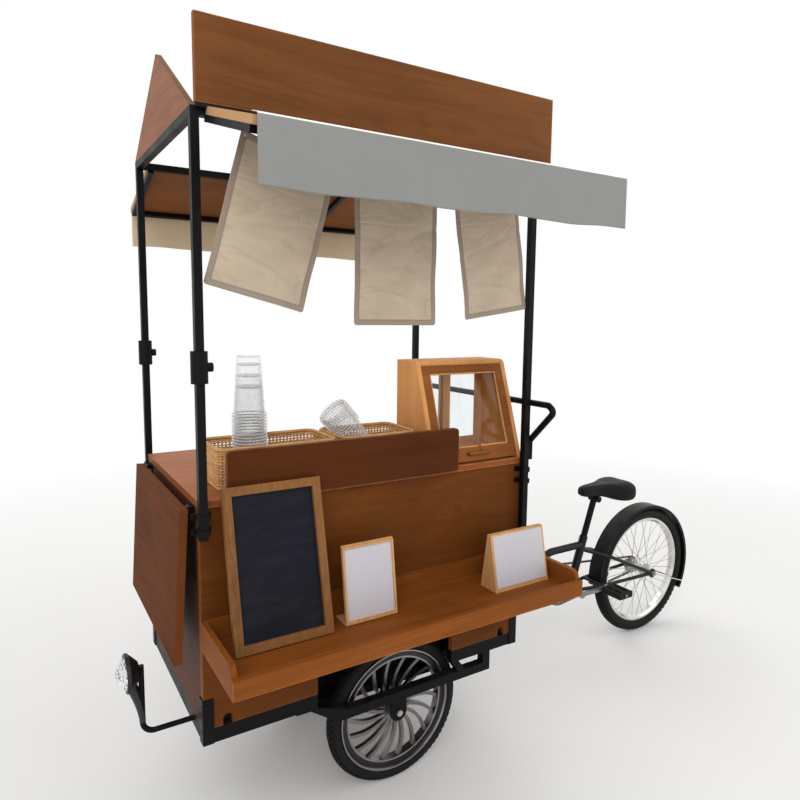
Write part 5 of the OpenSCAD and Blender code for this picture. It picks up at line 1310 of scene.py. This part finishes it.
class CART_OT_chain(bpy.types.Operator):
    """Lays the roller chain round the chainring and the sprocket"""

    bl_idname = "cart.chain"
    bl_label = "Chain"

    def execute(self, context):
        big = CHAIN_PITCH / (2 * math.sin(math.pi / CHAINRING_TEETH))
        small = CHAIN_PITCH / (2 * math.sin(math.pi / SPROCKET_TEETH))
        a = math.asin((big - small) / CHAIN_STAY)
        round_big, round_small = math.pi + 2 * a, math.pi - 2 * a
        base = at(BRACKET_X, CHAIN_Y, DRIVE_AXLE[Z])
        points = []
        for k in range(41):
            t = math.pi / 2 - a + round_big * k / 40
            points.append(base + Vector((big * math.cos(t), 0, big * math.sin(t))))
        for k in range(25):
            t = -math.pi / 2 + a + round_small * k / 24
            points.append(base + Vector((CHAIN_STAY + small * math.cos(t), 0, small * math.sin(t))))
        length = 2 * CHAIN_STAY * math.cos(a) + big * round_big + small * round_small
        links = 2 * round(length / CHAIN_PITCH / 2)
        curve = poly_curve("chain_path", points)
        path = link("chain_path", curve)

        half, plate_y, plate_half, waist = CHAIN_PITCH / 2, 0.00235, 0.0005, 0.0031
        eye_r, eye_thick, pin_r, pin_long = 0.0043, 0.0011, 0.0019, 0.0066
        bm = bmesh.new()

        def disc(x, y, r, depth, sides):
            made = bmesh.ops.create_cone(
                bm, cap_ends=True, segments=sides, radius1=r, radius2=r, depth=depth
            )
            place = Matrix.Translation((x, y, 0)) @ Matrix.Rotation(math.pi / 2, 4, "X")
            bmesh.ops.transform(bm, matrix=place, verts=made["verts"])

        for y in (-plate_y, plate_y):
            for x in (-half, half):
                disc(x, y, eye_r, eye_thick, 12)
            box_into(bm, (-half, y - plate_half, -waist), (half, y + plate_half, waist))
        disc(half, 0, pin_r, pin_long, 10)
        oiled = metal("oiled_steel", srgb(118, 110, 98), 0.4, spread=0.15)
        values = {"Links": links, "Spread": 0.42, "Path": path, "Material": oiled}
        obj = grown("roller_chain", settled(bm, "chain_link"), link_tree(), values)
        bpy.data.objects.remove(path)
        bpy.data.curves.remove(curve)
        dress(obj, oiled)
        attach(obj, "bicycle")
        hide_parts("chain")
        return {"FINISHED"}


class CART_OT_lamp(bpy.types.Operator):
    """Fits the lamp's faceted lens, bright bowl, neck and ribbed bezel"""

    bl_idname = "cart.lamp"
    bl_label = "Lamp"

    def execute(self, context):
        ring = ring_tree()
        low, high = (Vector(v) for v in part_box("lamp_lens"))
        centre = Vector((low.x, (low.y + high.y) / 2, (low.z + high.z) / 2))
        edge_gap, facet_tall, facets, ribs = 0.0006, 0.0012, 14, 48
        r = (high.y - low.y) / 2 - edge_gap
        deep = high.x - low.x
        step = 2 * math.pi / facets
        rim = r * 0.97
        glass = clear("lens_glass", (0.96, 0.97, 0.98), rough=0.02, ior=1.5, streak=0.04)
        rows = [(0.0, 0.0008), (r * 0.32, 0.0006), (r * 0.5, deep * 0.2)]
        rows += [(r * 0.68, deep * 0.4), (r * 0.84, deep * 0.59), (rim, deep * 0.77)]

        def spot(q, d, s):
            return Vector((d, q * math.cos(s), q * math.sin(s)))

        bm = bmesh.new()
        for (r0, d0), (r1, d1) in zip(rows, rows[1:]):
            corner = [spot(r0, d0, 0), spot(r1, d1, 0), spot(r1, d1, step), spot(r0, d0, step)]
            mid = sum(corner, Vector()) / 4 - Vector((facet_tall, 0, 0))
            ids = [bm.verts.new(v) for v in corner]
            peak = bm.verts.new(mid)
            for k in range(4):
                if (ids[k].co - ids[(k + 1) % 4].co).length > 1e-6:
                    bm.faces.new((ids[k], ids[(k + 1) % 4], peak))
        front = rows[-1][1]
        edge = [spot(rim, front, 0), spot(rim, front, step), spot(rim, deep, step), spot(rim, deep, 0)]
        back = [spot(0.0, deep, 0), spot(rim, deep, 0), spot(rim, deep, step)]
        for face in (edge, back):
            bm.faces.new([bm.verts.new(v) for v in face])
        bmesh.ops.remove_doubles(bm, verts=bm.verts, dist=1e-6)
        values = {"Count": facets, "Axis": (1, 0, 0), "Centre": tuple(centre), "Material": glass}
        lens = grown("lamp_facets", settled(bm, "lens_slice"), ring, values)
        bm = bmesh.new()
        bm.from_mesh(lens.data)
        bmesh.ops.remove_doubles(bm, verts=bm.verts, dist=1e-5)
        bmesh.ops.recalc_face_normals(bm, faces=bm.faces)
        bm.to_mesh(lens.data)
        bm.free()
        dress(lens, glass)
        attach(lens, "cart")
        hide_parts("lamp_lens")

        hollow = [(0.0395, 0.0), (0.03, 0.01), (0.018, 0.0175), (0.0, 0.02)]
        outside = [(0.0, 0.0212), (0.019, 0.0186), (0.031, 0.011), (0.0403, 0.0006)]
        bowl = lathe("lamp_bowl", hollow + outside, 48)
        behind = centre + Vector((deep + 0.0008, 0, 0))
        bowl.transform(Matrix.Translation(behind) @ Matrix.Rotation(math.pi / 2, 4, "Y"))
        bowl = link("lamp_bowl", bowl)
        dress(bowl, metal("bright_bowl", srgb(226, 226, 224), 0.12, spread=0.06))
        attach(bowl, "cart")

        moulding = NODES["lamp_shell"].data.materials[0]
        neck_z, neck_tall, neck_lean, neck_r, neck_flare, arm_r = 0.392, 0.104, 0.024, 0.0074, 0.0068, 0.007
        arm_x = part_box("lamp_arm")[0][X] + arm_r
        shares = [k / 10 for k in range(11)]
        path = [Vector((arm_x - neck_lean * t ** 1.7, centre.y, neck_z + neck_tall * t)) for t in shares]
        neck = link("lamp_neck", swept("lamp_neck", path, [neck_r + neck_flare * t for t in shares]))
        dress(neck, moulding)
        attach(neck, "cart")

        bm = bmesh.new()
        rib_half, rib_in, rib_out = 0.0012, 0.0468, 0.0482
        box_into(bm, (deep * 0.8, -rib_half, rib_in), (deep * 1.08, rib_half, rib_out))
        values = {"Count": ribs, "Axis": (1, 0, 0), "Centre": tuple(centre), "Material": moulding}
        bezel = grown("bezel_ribs", settled(bm, "bezel_rib"), ring, values)
        dress(bezel, moulding)
        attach(bezel, "cart")
        return {"FINISHED"}


def surround_into(bm, low, high, edge, sill, front, back):
    """Four bars round a window; low and high are its outer corners in X and Z."""
    (x0, z0), (x1, z1) = low, high
    bars = (
        ((x0, z0), (x0 + edge, z1)),
        ((x1 - edge, z0), (x1, z1)),
        ((x0 + edge, z0), (x1 - edge, sill)),
        ((x0 + edge, z1 - edge), (x1 - edge, z1)),
    )
    for (ax, az), (bx, bz) in bars:
        box_into(bm, (ax, front, az), (bx, back, bz))


class CART_OT_cards(bpy.types.Operator):
    """Puts blank cards and their timber edges on the two holders"""

    bl_idname = "cart.cards"
    bl_label = "Cards"

    def execute(self, context):
        white = card("blank_card", srgb(196, 193, 200), srgb(190, 187, 194))
        wide, tall, edge, sill, lift, proud = 0.155, 0.205, 0.0065, 0.012, 0.002, 0.0045
        lap, card_thick, gap, arris = 0.001, 0.0011, 0.0001, 0.0008
        upright = Matrix.Translation(at(0.344, -0.110, TRAY_Z)) @ Matrix.Rotation(-math.radians(8), 4, "X")
        bm = bmesh.new()
        surround_into(bm, (0, lift), (wide, tall), edge, sill, -proud, 0.0)
        bmesh.ops.transform(bm, matrix=upright, verts=bm.verts)
        bmesh.ops.bevel(bm, geom=bm.edges, offset=arris, segments=2, affect="EDGES")
        surround = link("card_surround", settled(bm, "card_surround"))
        dress(surround, NODES["card_holder"].data.materials[0])

        bm = bmesh.new()
        low, high = (edge - lap, -card_thick, sill - lap), (wide - edge + lap, -gap, tall - edge + lap)
        box_into(bm, low, high)
        bmesh.ops.transform(bm, matrix=upright, verts=bm.verts)
        wedge_wide, wedge_tall, wedge_deep, ridge_back = 0.207, 0.165, 0.072, 0.014
        wedge_edge, wedge_thick, wedge_head = 0.007, 0.0014, 0.005
        wedge_run = wedge_deep * 2 / 3 - ridge_back
        slope = Matrix.Rotation(-math.atan2(wedge_run, wedge_tall), 4, "X")
        wedge = Matrix.Translation(at(0.815, -0.152, TRAY_Z)) @ slope
        face_top = math.hypot(wedge_run, wedge_tall) - wedge_head
        face = box_into(bm, (wedge_edge, -wedge_thick, sill), (wedge_wide - wedge_edge, -gap, face_top))
        bmesh.ops.transform(bm, matrix=wedge, verts=face)
        cards = link("blank_cards", settled(bm, "blank_cards"))
        dress(cards, white)
        for obj, slot in ((surround, "light_ply"), (cards, "paper")):
            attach(obj, "cart")
        return {"FINISHED"}


class CART_OT_seals(bpy.types.Operator):
    """Lays the dark seal under the sign and the liners behind the panel's notches"""

    bl_idname = "cart.seals"
    bl_label = "Seals"

    def execute(self, context):
        sign_low, sign_high = (Vector(v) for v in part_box("front_sign"))
        panel_low, panel_high = (Vector(v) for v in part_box("serving_panel"))
        eave_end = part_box("eave_boards")[1][X]
        seal_tall, end_gap, front_gap, back_gap = 0.009, 0.002, 0.001, 0.0015
        notch_x, liner_half, liner_tall, liner_front, liner_back = 0.062, 0.018, 0.034, 0.0185, 0.0205
        bm = bmesh.new()
        low = (sign_low.x + end_gap, sign_low.y + front_gap, sign_low.z - seal_tall)
        box_into(bm, low, (eave_end - end_gap, sign_high.y - back_gap, sign_low.z))
        for x in (panel_low.x + notch_x, panel_high.x - notch_x):
            low = (x - liner_half, panel_low.y + liner_front, panel_low.z)
            box_into(bm, low, (x + liner_half, panel_low.y + liner_back, panel_low.z + liner_tall))
        obj = link("dark_seals", settled(bm, "dark_seals"))
        dress(obj, rubber("seal_rubber", srgb(16, 15, 15)))
        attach(obj, "cart")
        return {"FINISHED"}


class CART_OT_fasteners(bpy.types.Operator):
    """Drives the screws of the clips and corner plates"""

    bl_idname = "cart.fasteners"
    bl_label = "Screws"

    def execute(self, context):
        s = settings().sizes
        proud, clip_half, clip_z, head_tall = 0.003, 0.0185, 0.008, 0.0022
        spots = []

        def both_sides(x, z):
            spots.append(((x, -proud, z), (0, -1, 0)))
            spots.append(((x, BOX_DEEP + proud, z), (0, 1, 0)))

        for x in (0.005, BOX_LONG):
            for z in (0.893, 0.930):
                for dx in (-clip_half, clip_half):
                    if 0.0 < x + dx < BOX_LONG:
                        both_sides(x + dx, z + clip_z)
        for z in (0.375, 0.44):
            for x in (0.013, BOX_LONG - 0.013):
                both_sides(x, z)
            for y in (0.012, BOX_DEEP - 0.012):
                spots.append(((-proud, y, z), (-1, 0, 0)))
                spots.append(((BOX_LONG + proud, y, z), (1, 0, 0)))
        mesh = bpy.data.meshes.new("screw_spots")
        mesh.from_pydata([at(*p) for p, _ in spots], [], [])
        facing = mesh.attributes.new("facing", "FLOAT_VECTOR", "POINT")
        for i, (_, n) in enumerate(spots):
            facing.data[i].vector = n
        black = metal("screw_black", srgb(34, 32, 32), 0.42, spread=0.14)
        values = {"Radius": s.screw, "Height": head_tall, "Material": black}
        obj = grown("screw_heads", mesh, fastener_tree(), values)
        smooth_faces(obj.data)
        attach(obj, "cart")
        return {"FINISHED"}


class CART_OT_cabinet_trim(bpy.types.Operator):
    """Beads the cabinet's window and hangs its hook catch"""

    bl_idname = "cart.cabinet_trim"
    bl_label = "Cabinet trim"

    def execute(self, context):
        tall, slope_run, top_thick, gap = 0.312, 0.103, 0.015, 0.0004
        front_wide, foot, sill, head, stile = 0.316, 0.0075, 0.042, 0.024, 0.028
        bead, bead_front, bead_back, arris = 0.005, 0.0015, 0.007, 0.0012
        tilt = math.atan2(slope_run, tall)
        base = Matrix.Translation(at(0.703, 0.0, COUNTER_Z)) @ Matrix.Rotation(-tilt, 4, "X")
        length = (tall - top_thick - gap) / math.cos(tilt)
        z0 = foot + sill
        bm = bmesh.new()
        low, high = (stile, z0), (front_wide - stile, length - head)
        surround_into(bm, low, high, bead, z0 + bead, bead_front, bead_back)
        bmesh.ops.bevel(bm, geom=bm.edges, offset=arris, segments=2, affect="EDGES")
        bmesh.ops.transform(bm, matrix=base, verts=bm.verts)
        beads = link("window_beads", settled(bm, "window_beads"))
        dress(beads, timber("bead_timber", srgb(222, 170, 112), srgb(192, 138, 84), Z, Y, figure=1.4))
        hook_x, eye_r, eye_z = 0.17, 0.004, 0.055
        bends = [(-0.001, 0.052), (-0.006, 0.05), (-0.0075, 0.044), (-0.006, 0.036), (-0.003, 0.034)]
        path = [base @ Vector((hook_x, y, z)) for y, z in bends]
        turns = [k * math.pi / 8 for k in range(16)]
        eye = [
            base @ Vector((hook_x + eye_r * math.cos(t), -0.002, eye_z + eye_r * math.sin(t)))
            for t in turns
        ]
        hook = joined(
            "wire_catch", [tube_mesh("hook", path, 0.0011), tube_mesh("eye", eye, 0.001, 8, True)]
        )
        dress(hook, NODES["cabinet_pull"].data.materials[0])
        for obj, slot in ((beads, "light_ply"), (hook, "brass")):
            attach(obj, "cart")
        return {"FINISHED"}


def lay_floor():
    """A pale floor that keeps the shadow and fades to white farther out."""
    half, fade_from, fade_to = 30.0, 2.0, 4.6
    mesh = bpy.data.meshes.new("floor")
    corners = [(-half, -half, 0), (half, -half, 0), (half, half, 0), (-half, half, 0)]
    mesh.from_pydata(corners, [], [(0, 1, 2, 3)])
    floor = link("floor", mesh)
    mat = bpy.data.materials.new("pale_floor")
    mat.use_nodes = True
    mat.node_tree.nodes.clear()
    g = Graph(mat.node_tree)
    place = g.object_place()
    shade = g.mix(g.noise(place, 3.0, 3.0), (0.84, 0.84, 0.84), (0.87, 0.87, 0.87))
    matt = g.add("ShaderNodeBsdfDiffuse", {"Color": shade}).outputs[0]
    glow = g.add("ShaderNodeEmission", {"Color": (1, 1, 1), "Strength": 1.0}).outputs[0]
    away = g.add("ShaderNodeVectorMath", {0: place}, operation="LENGTH").outputs["Value"]
    faded = g.add("ShaderNodeMixShader", {0: g.band(away, fade_from, fade_to), 1: matt, 2: glow}).outputs[0]
    g.add("ShaderNodeOutputMaterial", {"Surface": faded})
    dress(floor, mat)


def light_world(scene):
    """Soft light from all round, white where it is seen or mirrored."""
    world = bpy.data.worlds.new("studio")
    scene.world = world
    world.use_nodes = True
    world.node_tree.nodes.clear()
    g = Graph(world.node_tree)
    ray = g.add("ShaderNodeLightPath").outputs
    mirrored = g.math("MAXIMUM", ray["Is Glossy Ray"], ray["Is Transmission Ray"])
    seen = g.math("MAXIMUM", ray["Is Camera Ray"], mirrored)
    white = g.add("ShaderNodeBackground", {"Color": (1, 1, 1), "Strength": 1.0}).outputs[0]
    fill = g.add("ShaderNodeBackground", {"Color": (1, 0.99, 0.97), "Strength": 0.85}).outputs[0]
    blend = g.add("ShaderNodeMixShader", {0: seen, 1: fill, 2: white}).outputs[0]
    g.add("ShaderNodeOutputWorld", {"Surface": blend})


def hang_lamps():
    """Three soft square lamps: name, place, aim, width and power."""
    lamps = [
        ("key", (-2.6, -3.2, 3.4), (0.0, 0.0, 1.0), 2.6, 60.0),
        ("fill", (2.8, -2.6, 2.6), (0.2, 0.0, 0.9), 3.0, 22.0),
        ("rear", (0.5, 3.4, 3.2), (0.0, 0.2, 1.0), 3.0, 30.0),
    ]
    for name, place, aim, width, power in lamps:
        lamp = bpy.data.lights.new(name, "AREA")
        lamp.shape = "SQUARE"
        lamp.size = width
        lamp.energy = power
        obj = link(name, lamp)
        obj.location = place
        obj.rotation_euler = (Vector(aim) - Vector(place)).to_track_quat("-Z", "Y").to_euler()


def set_camera(scene):
    """The camera that was fitted to the cart's straight edges."""
    stand = at(-0.3887, -1.5452, 1.4252)
    yaw, pitch, roll = (math.radians(v) for v in (31.786, 6.416, 0.628))
    camera = bpy.data.cameras.new("camera")
    camera.sensor_width = 36.0
    camera.lens = 29.105
    camera.shift_y = -0.0145
    camera.clip_end = 60.0
    obj = link("camera", camera)
    ahead = Vector((math.sin(yaw) * math.cos(pitch), math.cos(yaw) * math.cos(pitch), -math.sin(pitch)))
    right = Vector((math.cos(yaw), -math.sin(yaw), 0))
    tilted = right * math.cos(roll) + right.cross(ahead) * math.sin(roll)
    basis = Matrix((tilted, tilted.cross(ahead), -ahead)).transposed().to_4x4()
    obj.matrix_world = Matrix.Translation(stand) @ basis
    scene.camera = obj


class CART_OT_stage(bpy.types.Operator):
    """Sets the pale floor, the soft lights and the camera"""

    bl_idname = "cart.stage"
    bl_label = "Stage"

    def execute(self, context):
        lay_floor()
        light_world(context.scene)
        hang_lamps()
        set_camera(context.scene)
        context.scene.view_settings.view_transform = "Standard"
        return {"FINISHED"}


OPERATORS = (
    CART_OT_timber,
    CART_OT_steelwork,
    CART_OT_valances,
    CART_OT_banners,
    CART_OT_baskets,
    CART_OT_cups,
    CART_OT_saddle,
    CART_OT_tyres,
    CART_OT_rim_lips,
    CART_OT_chain,
    CART_OT_lamp,
    CART_OT_cards,
    CART_OT_seals,
    CART_OT_fasteners,
    CART_OT_cabinet_trim,
    CART_OT_stage,
)


class CART_PT_panel(bpy.types.Panel):
    """Lists the cart's settings and pieces"""

    bl_label = "Food cart"
    bl_idname = "CART_PT_panel"
    bl_space_type = "VIEW_3D"
    bl_region_type = "UI"
    bl_category = "Food cart"

    def draw(self, context):
        for group in (context.scene.food_cart.sizes, context.scene.food_cart.colours):
            box = self.layout.box()
            for name in group.__annotations__:
                box.prop(group, name)
        for operator in OPERATORS:
            self.layout.operator(operator.bl_idname)


CLASSES = (CartSizes, CartColours, CartSettings, *OPERATORS, CART_PT_panel)


def register():
    for cls in CLASSES:
        bpy.utils.register_class(cls)
    bpy.types.Scene.food_cart = PointerProperty(type=CartSettings)


def unregister():
    del bpy.types.Scene.food_cart
    for cls in reversed(CLASSES):
        bpy.utils.unregister_class(cls)


def main():
    register()
    for operator in OPERATORS:
        getattr(bpy.ops.cart, operator.bl_idname.split(".")[1])()


if __name__ == "__main__":
    main()
